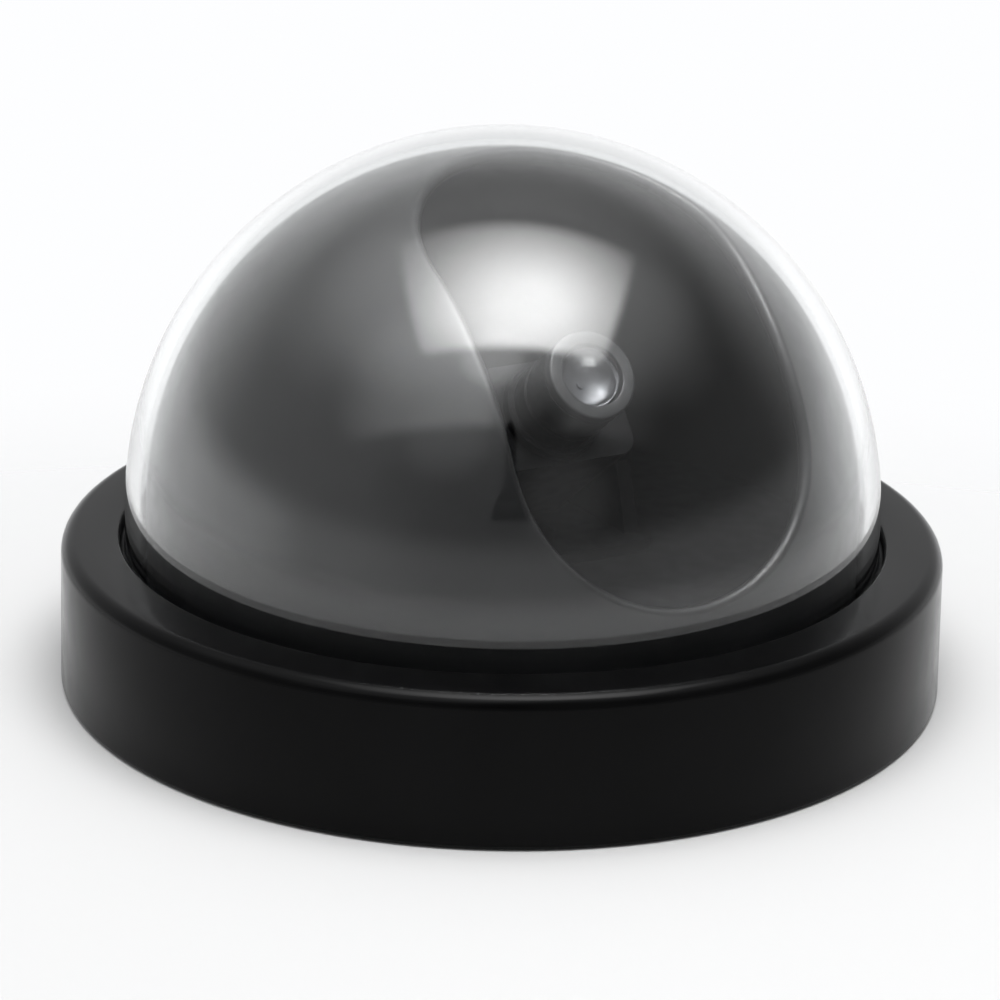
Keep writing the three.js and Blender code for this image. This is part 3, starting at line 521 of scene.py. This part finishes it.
def make_liner():
    """Shell with the slot. Each row of points runs round the slot, from its rolled edge out to the foot."""
    outer, inner = LINER_RADIUS, LINER_RADIUS - LINER_WALL
    mid, roll = (outer + inner) / 2, LINER_WALL / 2
    edge, centre = slot_outline(mid, 480)
    tangent = edge - (edge @ centre)[:, None] * centre
    tangent /= np.linalg.norm(tangent, axis=1)[:, None]
    at_edge = np.arccos(np.clip(edge @ centre, -1, 1))
    # along each ray, the angle from the slot's centre at which the shell reaches its equator
    at_equator = np.arctan2(centre[2], -tangent[:, 2])
    at_equator = np.where(at_equator < 0, at_equator + math.pi, at_equator)

    def directions(angle):
        return np.cos(angle)[:, None] * centre + np.sin(angle)[:, None] * tangent

    rows = []
    rolled = at_edge + roll / mid
    shares = np.linspace(0, 1, 41) ** 1.3
    for share in shares[::-1]:
        rows.append(outer * directions(rolled + (at_equator - rolled) * share))
    for turn in np.radians(np.linspace(67.5, -67.5, 7)):
        rows.append((mid + roll * math.sin(turn)) * directions(rolled - roll * math.cos(turn) / mid))
    for share in shares:
        rows.append(inner * directions(rolled + (at_equator - rolled) * share))
    foot = LINER_LOW.z - DOME_CENTRE_Z
    inner_rim, outer_rim = rows[-1] * (1, 1, 0), rows[0] * (1, 1, 0)
    rows += [inner_rim + (0, 0, foot * depth) for depth in (0.3, 1)]
    rows += [outer_rim + (0, 0, foot * depth) for depth in (1, 0.3)]
    count = len(edge)
    points = np.concatenate(rows)
    turn = np.array([[FORWARD.x, -FORWARD.y, 0], [FORWARD.y, FORWARD.x, 0], [0, 0, 1]])
    points = points @ turn.T + (0, 0, DOME_CENTRE_Z)
    faces = []
    for r in range(len(rows)):
        s = (r + 1) % len(rows)
        for k in range(count):
            j = (k + 1) % count
            faces.append((r * count + k, r * count + j, s * count + j, s * count + k))
    liner = link("liner_shell", mesh_from("liner_shell", points, faces))
    add_liner_feet(liner)
    return stand_for(shade(liner), "liner")


# ---- light unit: made about +Z, then turned along the lens axis ----------------------------------
LED_RADIUS = 4 * MM
LED_NOSE = 26.5 * MM
LED_FLANGE = LED_NOSE - 6.6 * MM
BARREL_RADIUS = 6 * MM
BARREL_SEAT = 15.1 * MM
BARREL_FRONT = 26.3 * MM
BEZEL_FRONT = 28 * MM


def along_lens(piece):
    return turn_to(piece, LENS_AXIS, TILT_CENTRE)


def in_mm(*profile):
    return [(r * MM, z * MM) for r, z in profile]


def make_led():
    flange_edge = 0.2 * MM
    flange_flat = 4.55 * MM - flange_edge
    flange_top = LED_FLANGE + 1.4 * MM
    profile = [(0, LED_FLANGE), (flange_flat, LED_FLANGE)]
    profile += arc(flange_flat, LED_FLANGE + flange_edge, flange_edge, -90, 0, 4)
    profile += arc(flange_flat, flange_top - flange_edge, flange_edge, 0, 90, 4)
    profile += [(LED_RADIUS, flange_top)]
    profile += arc(0, LED_NOSE, LED_RADIUS, 0, 90, 32)
    led = along_lens(revolve("clear_led_body", profile, 96))
    return stand_for(shade(led), "clear_led")


def stamping(name, outline):
    """Flat piece 0.5 mm thick along Y. Its outline is (x, z) in mm, from the light's foot."""
    foot = LED_FLANGE + 0.1 * MM
    return prism(name, *([(x * MM, y * MM, foot + z * MM) for x, z in outline] for y in (-0.25, 0.25)))


def make_lead_frame():
    """Metal inside the light: a post, a support and the bright reflector dish that carries the chip."""
    dish_foot = LED_NOSE - 3.4 * MM
    support = stamping("led_lead_frame", (
        (-1.5, 0), (-1.0, 0), (-1.0, 2.2), (0.5, 2.6), (0.5, 3.3), (-2.0, 3.3), (-2.0, 1.6), (-1.5, 1.2),
    ))
    post = stamping("led_post", (
        (1.0, 0), (1.5, 0), (1.5, 1.2), (2.1, 1.6), (2.1, 2.7), (1.6, 2.7), (1.0, 1.6),
    ))
    dish = revolve("led_dish", [(r * MM, dish_foot + z * MM) for r, z in (
        (0, -0.25), (0.9, -0.25), (2.0, 0.75), (2.55, 2.35), (2.5, 2.5), (2.38, 2.53), (2.28, 2.47),
        (2.05, 2.3), (1.85, 2.2), (1.6, 2.13), (1.2, 2.1), (0.3, 2.1), (0.3, 2.25), (0, 2.25),
    )], 64)
    combine(support, [post, dish], "UNION")
    along_lens(support)
    coat(support, SILVER)
    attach(support, "camera")
    return shade(support)


def make_lens_barrel():
    seat = BARREL_SEAT / MM
    front = BARREL_FRONT / MM
    profile = in_mm(
        (5, seat - 1.6), (5, seat), (6.7, seat), (6.8, seat + 0.1), (6.8, seat + 1.6), (6.5, seat + 1.9),
        (6, seat + 1.9), (6, seat + 5), (5.7, seat + 5.2), (5.7, seat + 5.8), (6, seat + 6),
        (6, front), (4.8, front), (4.8, seat + 3.4), (4, seat + 3.2), (4, seat - 1.6),
    )
    barrel = along_lens(revolve("lens_barrel_tube", profile, 128))
    return stand_for(shade(barrel, 30), "lens_barrel")


def make_lens_bezel():
    foot = BARREL_FRONT + 0.1 * MM
    inner = LED_RADIUS + 0.25 * MM
    outer_edge = 0.3 * MM
    inner_edge = 0.2 * MM
    profile = [(inner, foot), (BARREL_RADIUS, foot)]
    profile += arc(BARREL_RADIUS - outer_edge, BEZEL_FRONT - outer_edge, outer_edge, 0, 90, 6)
    profile += arc(inner + inner_edge, BEZEL_FRONT - inner_edge, inner_edge, 90, 180, 4)
    bezel = along_lens(revolve("lens_bezel_ring", profile, 128))
    return stand_for(shade(bezel, 30), "lens_bezel", BEZEL_BLACK)


def tube_through(name, points, radius):
    """Round wire along a smooth curve through the points."""
    curve = bpy.data.curves.new(name, "CURVE")
    curve.dimensions = "3D"
    spline = curve.splines.new("BEZIER")
    spline.bezier_points.add(len(points) - 1)
    for target, point in zip(spline.bezier_points, points):
        target.co = point
        target.handle_left_type = target.handle_right_type = "AUTO"
    curve.resolution_u = 10
    curve.bevel_depth = radius
    curve.bevel_resolution = 4
    curve.use_fill_caps = True
    holder = bpy.data.objects.new(name, curve)
    bpy.context.scene.collection.objects.link(holder)
    graph = bpy.context.evaluated_depsgraph_get()
    graph.update()
    mesh = bpy.data.meshes.new_from_object(holder.evaluated_get(graph))
    bpy.data.objects.remove(holder)
    work = bmesh.new()
    work.from_mesh(mesh)
    bmesh.ops.remove_doubles(work, verts=work.verts, dist=0.001 * MM)
    bmesh.ops.recalc_face_normals(work, faces=work.faces)
    work.to_mesh(mesh)
    work.free()
    return shade(link(name, mesh), 50)


def pan_point(x, y, z):
    """A point given in mm in the liner's own frame, which is turned by the pan angle."""
    return PAN_TURN @ Vector((x * MM, y * MM, z * MM))


def make_cable_loop():
    """Slack loop of the light's cable, from the pivot bush to the back of the camera unit."""
    path = [pan_point(*p) for p in (
        (0, 0, 17.4), (0, 0.6, 18.5), (-1.2, 2.8, 18.7), (-2.4, 6, 19.7),
        (-2.6, 8.3, 21.4), (-1.5, 9.3, 22.8), (0, 8.6, 23.8), (0, 6.2, 25.6),
    )]
    loop = tube_through("led_cable_loop", path, 0.8 * MM)
    coat(loop, BLACK_WIRE)
    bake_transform(loop)
    return loop


# ---- screws ----------------------------------------------------------------------------------
# head radius, head height, shank radius, shank length, all in mm, after the node where there is one
UPRIGHT_SCREWS = [(f"liner_screw_{i}", 2.1, 1.4, 1, 5) for i in (1, 2, 3)]
UPRIGHT_SCREWS += [(f"yoke_screw_{i}", 2.1, 1.4, 1, 3) for i in (1, 2)]
UPRIGHT_SCREWS += [(f"board_screw_{i}", 2.1, 1.5, 1, 4.6) for i in (1, 2)]
CLAMP_SCREWS = [(f"clamp_screw_{i}", 1.9, 1.4, 1, 3.6) for i in (1, 2, 3, 4)]
REAR_SCREW_SIZES = (1.8, 1.1, 0.8, 4.4)
REAR_SCREWS = [("rear_screw_1", 8.2, 4.5), ("rear_screw_2", -8.2, -4.5)]      # node, x, z
REAR_SCREW_SEAT = 7.1
TILT_SCREW_SIZES = (3, 1.8, 1.5, 8.4)
TILT_SCREWS = [("tilt_screw_right", 1), ("tilt_screw_left", -1)]              # node, side
TILT_SCREW_SEAT = 17.5
THREAD_PITCH = 0.5
THREAD_ROOT = 0.78                     # share of the shank's radius
RECESS_ARM = 0.55                      # share of the head's radius
RECESS_SLIT = 0.13                     # the same
RECESS_FLOOR = 0.4                     # share of the head's height

PAN_TURN = Matrix.Rotation(PAN_REST, 4, "Z")
CAMERA_UNIT = PAN_TURN @ Matrix.Translation(TILT_CENTRE) @ Matrix.Rotation(-TILT_REST, 4, "X")


def make_screw(node, head_radius, head_height, shank_radius, shank_length, place):
    """Pan-head screw with a cross recess and a ridged shank. Its head stands on z = 0 before it is placed."""
    core = shank_radius * THREAD_ROOT
    profile = [(0, -shank_length), (core * 0.7, -shank_length)]
    turns = int((shank_length - 0.8) / THREAD_PITCH)
    for k in range(turns):
        z = -shank_length + 0.3 + k * THREAD_PITCH
        profile += [(core, z), (shank_radius, z + THREAD_PITCH * 0.4), (core, z + THREAD_PITCH * 0.8)]
    profile += [(core, -0.25), (shank_radius, 0), (head_radius * 0.97, 0), (head_radius, head_height * 0.12)]
    for a in np.radians((0, 25, 45, 62, 76)):
        profile.append((head_radius * math.cos(a), head_height * (0.3 + 0.7 * math.sin(a))))
    profile.append((0, head_height))
    screw = revolve(f"{node}_threaded", in_mm(*profile), 32)
    arm, slit, floor = head_radius * RECESS_ARM, head_radius * RECESS_SLIT, head_height * RECESS_FLOOR
    recess = [
        box_piece(f"{node}_cut_{i}", [-a * MM, -b * MM, floor * MM], [a * MM, b * MM, (head_height + 1) * MM])
        for i, (a, b) in enumerate(((arm, slit), (slit, arm)))
    ]
    combine(screw, recess, "DIFFERENCE")
    screw.data.transform(place)
    return stand_for(shade(screw, 30), node)


def make_screws():
    for node, head_radius, head_height, *shank in UPRIGHT_SCREWS:
        low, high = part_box(node)
        seat = Vector(((low.x + high.x) / 2, (low.y + high.y) / 2, high.z - head_height * MM))
        make_screw(node, head_radius, head_height, *shank, Matrix.Translation(seat))
    for node, head_radius, head_height, *shank in CLAMP_SCREWS:
        low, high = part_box(node)
        seat = Vector(((low.x + high.x) / 2, (low.y + high.y) / 2, low.z + head_height * MM))
        upside_down = Matrix.Rotation(math.pi, 4, "X")
        make_screw(node, head_radius, head_height, *shank, Matrix.Translation(seat) @ upside_down)
    for node, x, z in REAR_SCREWS:
        seat = Matrix.Translation((x * MM, REAR_SCREW_SEAT * MM, z * MM))
        backwards = Matrix.Rotation(math.radians(-90), 4, "X")
        make_screw(node, *REAR_SCREW_SIZES, CAMERA_UNIT @ seat @ backwards)
    for node, side in TILT_SCREWS:
        seat = Matrix.Translation((side * TILT_SCREW_SEAT * MM, 0, 0))
        outwards = Matrix.Rotation(math.radians(side * 90), 4, "Y")
        make_screw(node, *TILT_SCREW_SIZES, CAMERA_UNIT @ seat @ outwards)


# ---- turned parts and wires ------------------------------------------------------------------
def lathe(node, profile, place=None, segments=96):
    """Round part that stands for a CAD node. Its profile is in mm."""
    piece = revolve(f"{node}_turned", in_mm(*profile), segments)
    if place is not None:
        piece.data.transform(place)
    return stand_for(shade(piece, 30), node)


def ring_profile(inner, outer, low, high, edge=0.15):
    """Flat ring with chamfered edges."""
    return [
        (inner, low + edge), (inner + edge, low), (outer - edge, low), (outer, low + edge),
        (outer, high - edge), (outer - edge, high), (inner + edge, high), (inner, high - edge),
    ]


def make_pivot_parts():
    lathe("pivot_bush", [
        (1.7, 7), (2.8, 7), (3, 7.2), (3, 16), (6.2, 16), (6.2, 17.1), (6, 17.3), (1.9, 17.3), (1.7, 17.1),
    ])
    lathe("thrust_washer", ring_profile(3.3, 6.2, 14.1, 14.9, 0.1))
    for node, side in (("tilt_washer_right", 1), ("tilt_washer_left", -1)):
        turn = Matrix.Rotation(math.radians(side * 90), 4, "Y")
        lathe(node, ring_profile(1.7, 3.6, 13.9, 14.8, 0.1), CAMERA_UNIT @ turn)
    lathe("cable_grommet", [
        (0.95, 5.9), (1.5, 5.9), (1.5, 7.2), (2.4, 7.2), (2.38, 7.6), (2.2, 8.6), (1.1, 8.6), (0.95, 8.45),
    ], CAMERA_UNIT @ Matrix.Rotation(math.radians(-90), 4, "X"), 48)


def make_clamp_ring():
    low, high = CLAMP_LOW.z / MM, CLAMP_HIGH.z / MM
    ring = revolve("dome_clamp_ring_turned", in_mm(*ring_profile(49.3, 57, low, high)), 256)
    holes = []
    for angle in CLAMP_SCREW_ANGLES:
        hole = rod(f"clamp_hole_{angle}", 1.35 * MM, CLAMP_LOW.z - MM, CLAMP_HIGH.z + MM, 32)
        holes.append(moved(hole, *on_circle(CLAMP_SCREW_RADIUS, angle)))
    combine(ring, holes, "DIFFERENCE")
    return stand_for(shade(ring, 30), "dome_clamp_ring")


def make_turntable():
    """Round table on a sleeve, with the stop tab, three liner posts and screw holes."""
    pan = math.degrees(PAN_REST)
    table = revolve("turntable_turned", in_mm(
        (3.25, 15), (6.9, 15), (6.9, 11.15), (7.05, 11), (8.85, 11), (9, 11.15), (9, 15),
        (45.95, 15), (46.1, 15.15), (46.1, 16.85), (45.95, 17), (6.6, 17), (6.6, 15.8), (3.25, 15.8),
    ), 256)
    tab = turned(box_piece("tab", (-MM, 8.4 * MM, 11 * MM), (MM, 11.3 * MM, 15.5 * MM)), pan)
    posts, holes = [], []
    for i, angle in enumerate(LINER_FEET_ANGLES):
        x, y = on_circle(LINER_FOOT_RADIUS, angle + pan)
        posts.append(moved(rod(f"liner_post_{i}", 2.8 * MM, 15.5 * MM, LINER_POST_TOP, 48), x, y))
        holes.append(moved(rod(f"post_hole_{i}", 1.2 * MM, 17 * MM, LINER_POST_TOP + MM, 32), x, y))
    for node in ("yoke_screw_1", "yoke_screw_2"):
        low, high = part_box(node)
        hole = rod(f"{node}_hole", 1.2 * MM, 14 * MM, 18 * MM, 32)
        holes.append(moved(hole, (low.x + high.x) / 2, (low.y + high.y) / 2))
    combine(table, [tab] + posts, "UNION")
    combine(table, holes, "DIFFERENCE")
    return stand_for(shade(table, 30), "turntable")


def make_cells():
    """Two cells along X: jacketed body, bare metal ends."""
    for node, side in (("battery_cell_1", -1), ("battery_cell_2", 1)):
        low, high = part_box(node)
        length = (high.x - low.x) / MM
        shoulder = length - 1
        cell = revolve(f"{node}_can", in_mm(
            (0, 0.2), (3.4, 0.2), (3.7, 0), (4.8, 0), (5.1, 0.12), (5.2, 0.4),
            (5.2, shoulder - 0.4), (5.1, shoulder - 0.12), (4.8, shoulder), (4.4, shoulder),
            (4.3, shoulder - 0.15), (2.2, shoulder - 0.15), (1.9, shoulder), (1.9, length - 0.2),
            (1.7, length), (0, length),
        ), 96)
        coat(cell, JACKET)
        cell.data.materials.append(NICKEL.material)
        for face in cell.data.polygons:
            bare_end = face.center.z < 0.3 * MM or face.center.z > (shoulder - 0.1) * MM
            face.material_index = int(bare_end or math.hypot(face.center.x, face.center.y) < 4.7 * MM)
        start = low.x if side > 0 else high.x
        seat = Matrix.Translation((start, (low.y + high.y) / 2, (low.z + high.z) / 2))
        cell.data.transform(seat @ Matrix.Rotation(math.radians(side * 90), 4, "Y"))
        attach(shade(cell, 30), "base")
        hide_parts(node)


def make_wires():
    """The insulated leads and the light's two wire legs."""
    pad, cell_1, cell_2 = 8.4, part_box("battery_cell_1"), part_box("battery_cell_2")
    y1, y2 = ((low.y + high.y) / 2 / MM for low, high in (cell_1, cell_2))
    paths = {
        "battery_lead_red": (0.65, [
            (-29.2, y1, 7.7), (-31.5, 12, 5), (-31, -4, 3.6), (-25, -15, 5),
            (-19, -20, pad), (-15.5, -21, pad),
        ]),
        "battery_lead_black": (0.65, [
            (-29.2, y2, 7.7), (-33.5, 22, 5), (-34, -2, 3.6), (-27, -19, 5),
            (-20, -25, pad), (-15.5, -25, pad),
        ]),
        "led_cable": (0.9, [
            (0, -18.5, pad + 0.3), (0, -12.5, pad), (0, -8.8, 5.4), (0, -5, 4.3), (0, -1.6, 4.7), (0, 0, 7),
            (0, 0, 12), (0, 0, 18),
        ]),
    }
    for node, (radius, path) in paths.items():
        wire = tube_through(f"{node}_wire", [tuple(c * MM for c in point) for point in path], radius * MM)
        stand_for(wire, node)
    for node, x in (("led_lead_anode", 1.27), ("led_lead_cathode", -1.27)):
        leg = rod(f"{node}_leg", 0.3 * MM, 6.6 * MM, LED_FLANGE - 0.1 * MM, 24)
        forwards = Matrix.Rotation(math.radians(90), 4, "X")
        leg.data.transform(CAMERA_UNIT @ Matrix.Translation((x * MM, 0, 0)) @ forwards)
        stand_for(shade(leg, 30), node)


# ---- stage -----------------------------------------------------------------------------------
def stage_material(name):
    material = bpy.data.materials.new(name)
    material.use_nodes = True
    tree = material.node_tree
    tree.nodes.clear()
    return material, tree, tree.nodes.new("ShaderNodeOutputMaterial")


def ramp(tree, value, low_from, high_from, low_to, high_to):
    """Smooth step of a value from low_to to high_to."""
    span = tree.nodes.new("ShaderNodeMapRange")
    span.interpolation_type = "SMOOTHSTEP"
    span.inputs["From Min"].default_value = low_from
    span.inputs["From Max"].default_value = high_from
    span.inputs["To Min"].default_value = low_to
    span.inputs["To Max"].default_value = high_to
    tree.links.new(value, span.inputs["Value"])
    return span.outputs["Result"]


def calculate(tree, operation, *values):
    """Math node over sockets and numbers."""
    node = tree.nodes.new("ShaderNodeMath")
    node.operation = operation
    for socket, value in zip(node.inputs, values):
        if isinstance(value, (int, float)):
            socket.default_value = value
        else:
            tree.links.new(value, socket)
    return node.outputs["Value"]


def seen_directly(tree):
    """One for rays that reach the camera without a reflection, also through clear plastic. Otherwise zero."""
    rays = tree.nodes.new("ShaderNodeLightPath")
    straight = calculate(tree, "MAXIMUM", rays.outputs["Is Camera Ray"], rays.outputs["Is Transmission Ray"])
    bounces = calculate(tree, "ADD", rays.outputs["Glossy Depth"], rays.outputs["Diffuse Depth"])
    return calculate(tree, "MULTIPLY", straight, calculate(tree, "LESS_THAN", bounces, 0.5))


def blend_values(tree, factor, first, second):
    mix = tree.nodes.new("ShaderNodeMix")
    for name, value in (("Factor", factor), ("A", first), ("B", second)):
        if isinstance(value, (int, float)):
            mix.inputs[name].default_value = value
        else:
            tree.links.new(value, mix.inputs[name])
    return mix.outputs["Result"]


FLOOR_RADIUS = 1.2
FLOOR_LEVEL = -0.05 * MM
# distances from the object's centre over which the floor fades into the white surroundings
FLOOR_FADE_BEHIND = (0.015, 0.13)      # behind the object, as seen
FLOOR_FADE_AROUND = (0.3, 0.8)         # on all sides
FLOOR_FADE_REFLECTED = (0.05, 0.3)     # on all sides, in reflections
FLOOR_HOLE_MARGIN = 5 * MM             # the floor is open under the base, which covers the hole
FLOOR_WHITE = 0.53


def make_floor():
    """White floor disc that fades into the surroundings. From below it isn't seen and shades nothing."""
    rings = [0.0, 0.07, 0.15, 0.3, 0.6, FLOOR_RADIUS]
    floor = revolve("floor", [(r, FLOOR_LEVEL) for r in rings], 96)
    material, tree, output = stage_material("floor_white")

    surface = tree.nodes.new("ShaderNodeBsdfPrincipled")
    surface.inputs["Roughness"].default_value = 0.7
    surface.inputs["Specular IOR Level"].default_value = 0.1
    surface.inputs["Base Color"].default_value = (FLOOR_WHITE, FLOOR_WHITE, FLOOR_WHITE, 1)
    coordinate = tree.nodes.new("ShaderNodeTexCoord")
    reach = tree.nodes.new("ShaderNodeVectorMath")
    reach.operation = "LENGTH"
    tree.links.new(coordinate.outputs["Object"], reach.inputs[0])
    distance = reach.outputs["Value"]
    geometry = tree.nodes.new("ShaderNodeNewGeometry")
    towards = tree.nodes.new("ShaderNodeVectorMath")
    towards.operation = "DOT_PRODUCT"
    tree.links.new(coordinate.outputs["Object"], towards.inputs[0])
    tree.links.new(geometry.outputs["Incoming"], towards.inputs[1])
    behind = calculate(tree, "MULTIPLY", towards.outputs["Value"], -1)
    seen = calculate(
        tree, "MAXIMUM",
        ramp(tree, behind, *FLOOR_FADE_BEHIND, 0, 1), ramp(tree, distance, *FLOOR_FADE_AROUND, 0, 1),
    )
    reflected = ramp(tree, distance, *FLOOR_FADE_REFLECTED, 0, 1)
    fade = blend_values(tree, seen_directly(tree), reflected, seen)
    split = tree.nodes.new("ShaderNodeSeparateXYZ")
    tree.links.new(geometry.outputs["Incoming"], split.inputs["Vector"])
    from_below = calculate(tree, "LESS_THAN", split.outputs["Z"], 0)
    under_base = calculate(tree, "LESS_THAN", distance, BASE_RADIUS - FLOOR_HOLE_MARGIN)
    fade = calculate(tree, "MAXIMUM", fade, calculate(tree, "MAXIMUM", from_below, under_base))
    clear = tree.nodes.new("ShaderNodeBsdfTransparent")
    mix = tree.nodes.new("ShaderNodeMixShader")
    tree.links.new(fade, mix.inputs["Fac"])
    tree.links.new(surface.outputs["BSDF"], mix.inputs[1])
    tree.links.new(clear.outputs["BSDF"], mix.inputs[2])
    tree.links.new(mix.outputs["Shader"], output.inputs["Surface"])
    floor.data.materials.append(material)
    return floor


SOFTBOX_HALF = (0.25, 0.205)
SOFTBOX_CENTRE = (0.02, -0.045, 0.5)
SOFTBOX_GLOW_CENTRE = (0.025, -0.07)   # brightest point, from the softbox's centre
SOFTBOX_GLOW_RADIUS = 0.195
SOFTBOX_POWER = 11.5
SOFTBOX_SOFT_EDGE = 0.035


def make_softbox():
    """Overhead lamp, brightest near its front. It lights and reflects, but isn't seen itself."""
    wide, deep = SOFTBOX_HALF
    points = [(x * wide, y * deep, 0) for x, y in ((-1, -1), (1, -1), (1, 1), (-1, 1))]
    box = link("softbox", mesh_from("softbox", points, [(0, 3, 2, 1)]))
    box.location = SOFTBOX_CENTRE
    material, tree, output = stage_material("softbox_light")
    coordinate = tree.nodes.new("ShaderNodeTexCoord")
    split = tree.nodes.new("ShaderNodeSeparateXYZ")
    tree.links.new(coordinate.outputs["Object"], split.inputs["Vector"])
    strength = SOFTBOX_POWER
    squares = 0.0
    for axis, half, glow in zip("XY", SOFTBOX_HALF, SOFTBOX_GLOW_CENTRE):
        reach = calculate(tree, "ABSOLUTE", split.outputs[axis])
        edge = ramp(tree, reach, half - SOFTBOX_SOFT_EDGE, half, 1, 0)
        strength = calculate(tree, "MULTIPLY", edge, strength)
        offset = calculate(tree, "SUBTRACT", split.outputs[axis], glow)
        offset = calculate(tree, "DIVIDE", offset, SOFTBOX_GLOW_RADIUS)
        squares = calculate(tree, "ADD", calculate(tree, "MULTIPLY", offset, offset), squares)
    glow = calculate(tree, "POWER", math.e, calculate(tree, "MULTIPLY", squares, -1.0))
    strength = calculate(tree, "MULTIPLY", strength, glow)
    geometry = tree.nodes.new("ShaderNodeNewGeometry")
    front_only = calculate(tree, "SUBTRACT", 1, geometry.outputs["Backfacing"])
    light = tree.nodes.new("ShaderNodeEmission")
    tree.links.new(calculate(tree, "MULTIPLY", strength, front_only), light.inputs["Strength"])
    clear = tree.nodes.new("ShaderNodeBsdfTransparent")
    both = tree.nodes.new("ShaderNodeAddShader")
    tree.links.new(light.outputs["Emission"], both.inputs[0])
    tree.links.new(clear.outputs["BSDF"], both.inputs[1])
    tree.links.new(both.outputs["Shader"], output.inputs["Surface"])
    box.data.materials.append(material)
    box.visible_camera = False
    return box


def make_surroundings():
    """White when seen directly. In reflections, a studio, bright behind the object and dim elsewhere."""
    world = bpy.data.worlds.new("studio")
    bpy.context.scene.world = world
    world.use_nodes = True
    tree = world.node_tree
    tree.nodes.clear()
    output = tree.nodes.new("ShaderNodeOutputWorld")
    coordinate = tree.nodes.new("ShaderNodeTexCoord")
    split = tree.nodes.new("ShaderNodeSeparateXYZ")
    tree.links.new(coordinate.outputs["Generated"], split.inputs["Vector"])
    x, y, z = (split.outputs[axis] for axis in "XYZ")
    direction = coordinate.outputs["Generated"]

    def product(*values):
        result = values[0]
        for value in values[1:]:
            result = calculate(tree, "MULTIPLY", result, value)
        return result

    def total(*values):
        result = values[0]
        for value in values[1:]:
            result = calculate(tree, "ADD", result, value)
        return result

    def glow(azimuth, elevation, width, strength):
        """Soft patch of light round a direction: azimuth from straight in front, towards +X."""
        a, e = math.radians(azimuth), math.radians(elevation)
        dot = tree.nodes.new("ShaderNodeVectorMath")
        dot.operation = "DOT_PRODUCT"
        tree.links.new(direction, dot.inputs[0])
        dot.inputs[1].default_value = (math.sin(a) * math.cos(e), -math.cos(a) * math.cos(e), math.sin(e))
        return ramp(tree, dot.outputs["Value"], math.cos(math.radians(width)), 1.0, 0, strength)

    # each ramp goes from one value of a direction's x, y or z to another, then from one brightness to another
    left = ramp(tree, x, -0.95, -0.1, 0.24, 0)
    right = ramp(tree, x, 0.5, 0.95, 0, 0.07)
    horizon = product(ramp(tree, z, 0, 0.2, 1, 0), total(0.28, ramp(tree, x, -1, -0.85, 0.4, 0)))
    behind = product(
        ramp(tree, y, 0.05, 0.8, 0, 1), ramp(tree, z, 0.55, 0.85, 0.68, 0), ramp(tree, x, -0.7, -0.2, 0.7, 1),
    )
    overhead = total(ramp(tree, z, 0.62, 0.9, 0, 0.72), glow(-95, 58, 30, 0.35), glow(80, 60, 30, 0.35))
    above_table_edge = ramp(tree, total(z, product(y, 0.92)), -0.07, 0.05, 0, 1)
    ceiling = product(above_table_edge, total(
        glow(-22, 50, 38, 0.75), glow(25, 48, 32, 0.3), glow(-8, 63, 11, 1.4), glow(10, 47, 14, -0.8),
    ))
    wall = total(glow(-20, 38, 16, 0.22), glow(20, 20, 16, 0.16))
    sideways = calculate(tree, "DIVIDE", x, product(y, -1))
    aside = calculate(tree, "ABSOLUTE", calculate(tree, "SUBTRACT", sideways, 0.04))
    stand_width = total(ramp(tree, z, 0.26, 0.45, 0.1, 0.035), ramp(tree, z, 0.64, 0.74, 0, -0.06))
    beside = calculate(tree, "SUBTRACT", aside, stand_width)
    below_or_behind = calculate(
        tree, "MAXIMUM", ramp(tree, z, 0.22, 0.26, 1, 0), ramp(tree, y, -0.35, -0.25, 0, 1),
    )
    outside_stand = calculate(tree, "MAXIMUM", ramp(tree, beside, -0.01, 0.012, 0, 1), below_or_behind)
    studio = total(left, right, horizon, behind, overhead, ceiling, wall, 0.17)
    reflected = product(studio, total(0.04, product(outside_stand, 0.96)))
    background = tree.nodes.new("ShaderNodeBackground")
    background.inputs["Color"].default_value = (0.985, 0.99, 1.0, 1)
    strength = blend_values(tree, seen_directly(tree), reflected, 1.0)
    tree.links.new(strength, background.inputs["Strength"])
    tree.links.new(background.outputs["Background"], output.inputs["Surface"])
    return world


CAMERA_TARGET = Vector((-0.0004, 0, 0.02378))
CAMERA_DISTANCE = 0.4498
CAMERA_ELEVATION = math.radians(19.62)
CAMERA_ROLL = math.radians(1.16)
CAMERA_LENS = 119.4


def make_camera():
    data = bpy.data.cameras.new("camera")
    data.lens = CAMERA_LENS
    data.sensor_width = 36
    data.clip_start = 0.01
    camera = bpy.data.objects.new("camera", data)
    bpy.context.scene.collection.objects.link(camera)
    away = Vector((0, -math.cos(CAMERA_ELEVATION), math.sin(CAMERA_ELEVATION)))
    aim = (-away).to_track_quat("-Z", "Y").to_matrix().to_4x4()
    place = Matrix.Translation(CAMERA_TARGET + away * CAMERA_DISTANCE)
    camera.matrix_world = place @ aim @ Matrix.Rotation(CAMERA_ROLL, 4, "Z")
    bpy.context.scene.camera = camera
    bpy.context.scene.view_settings.view_transform = "Standard"


# ---- build -----------------------------------------------------------------------------------
dress_cad_nodes()
make_outer_ring()
make_dome()
make_gap_shade_cord()
make_liner()
make_led()
make_lead_frame()
make_lens_barrel()
make_lens_bezel()
make_screws()
make_pivot_parts()
make_clamp_ring()
make_turntable()
make_cells()
make_wires()
make_cable_loop()
make_floor()
make_softbox()
make_surroundings()
make_camera()
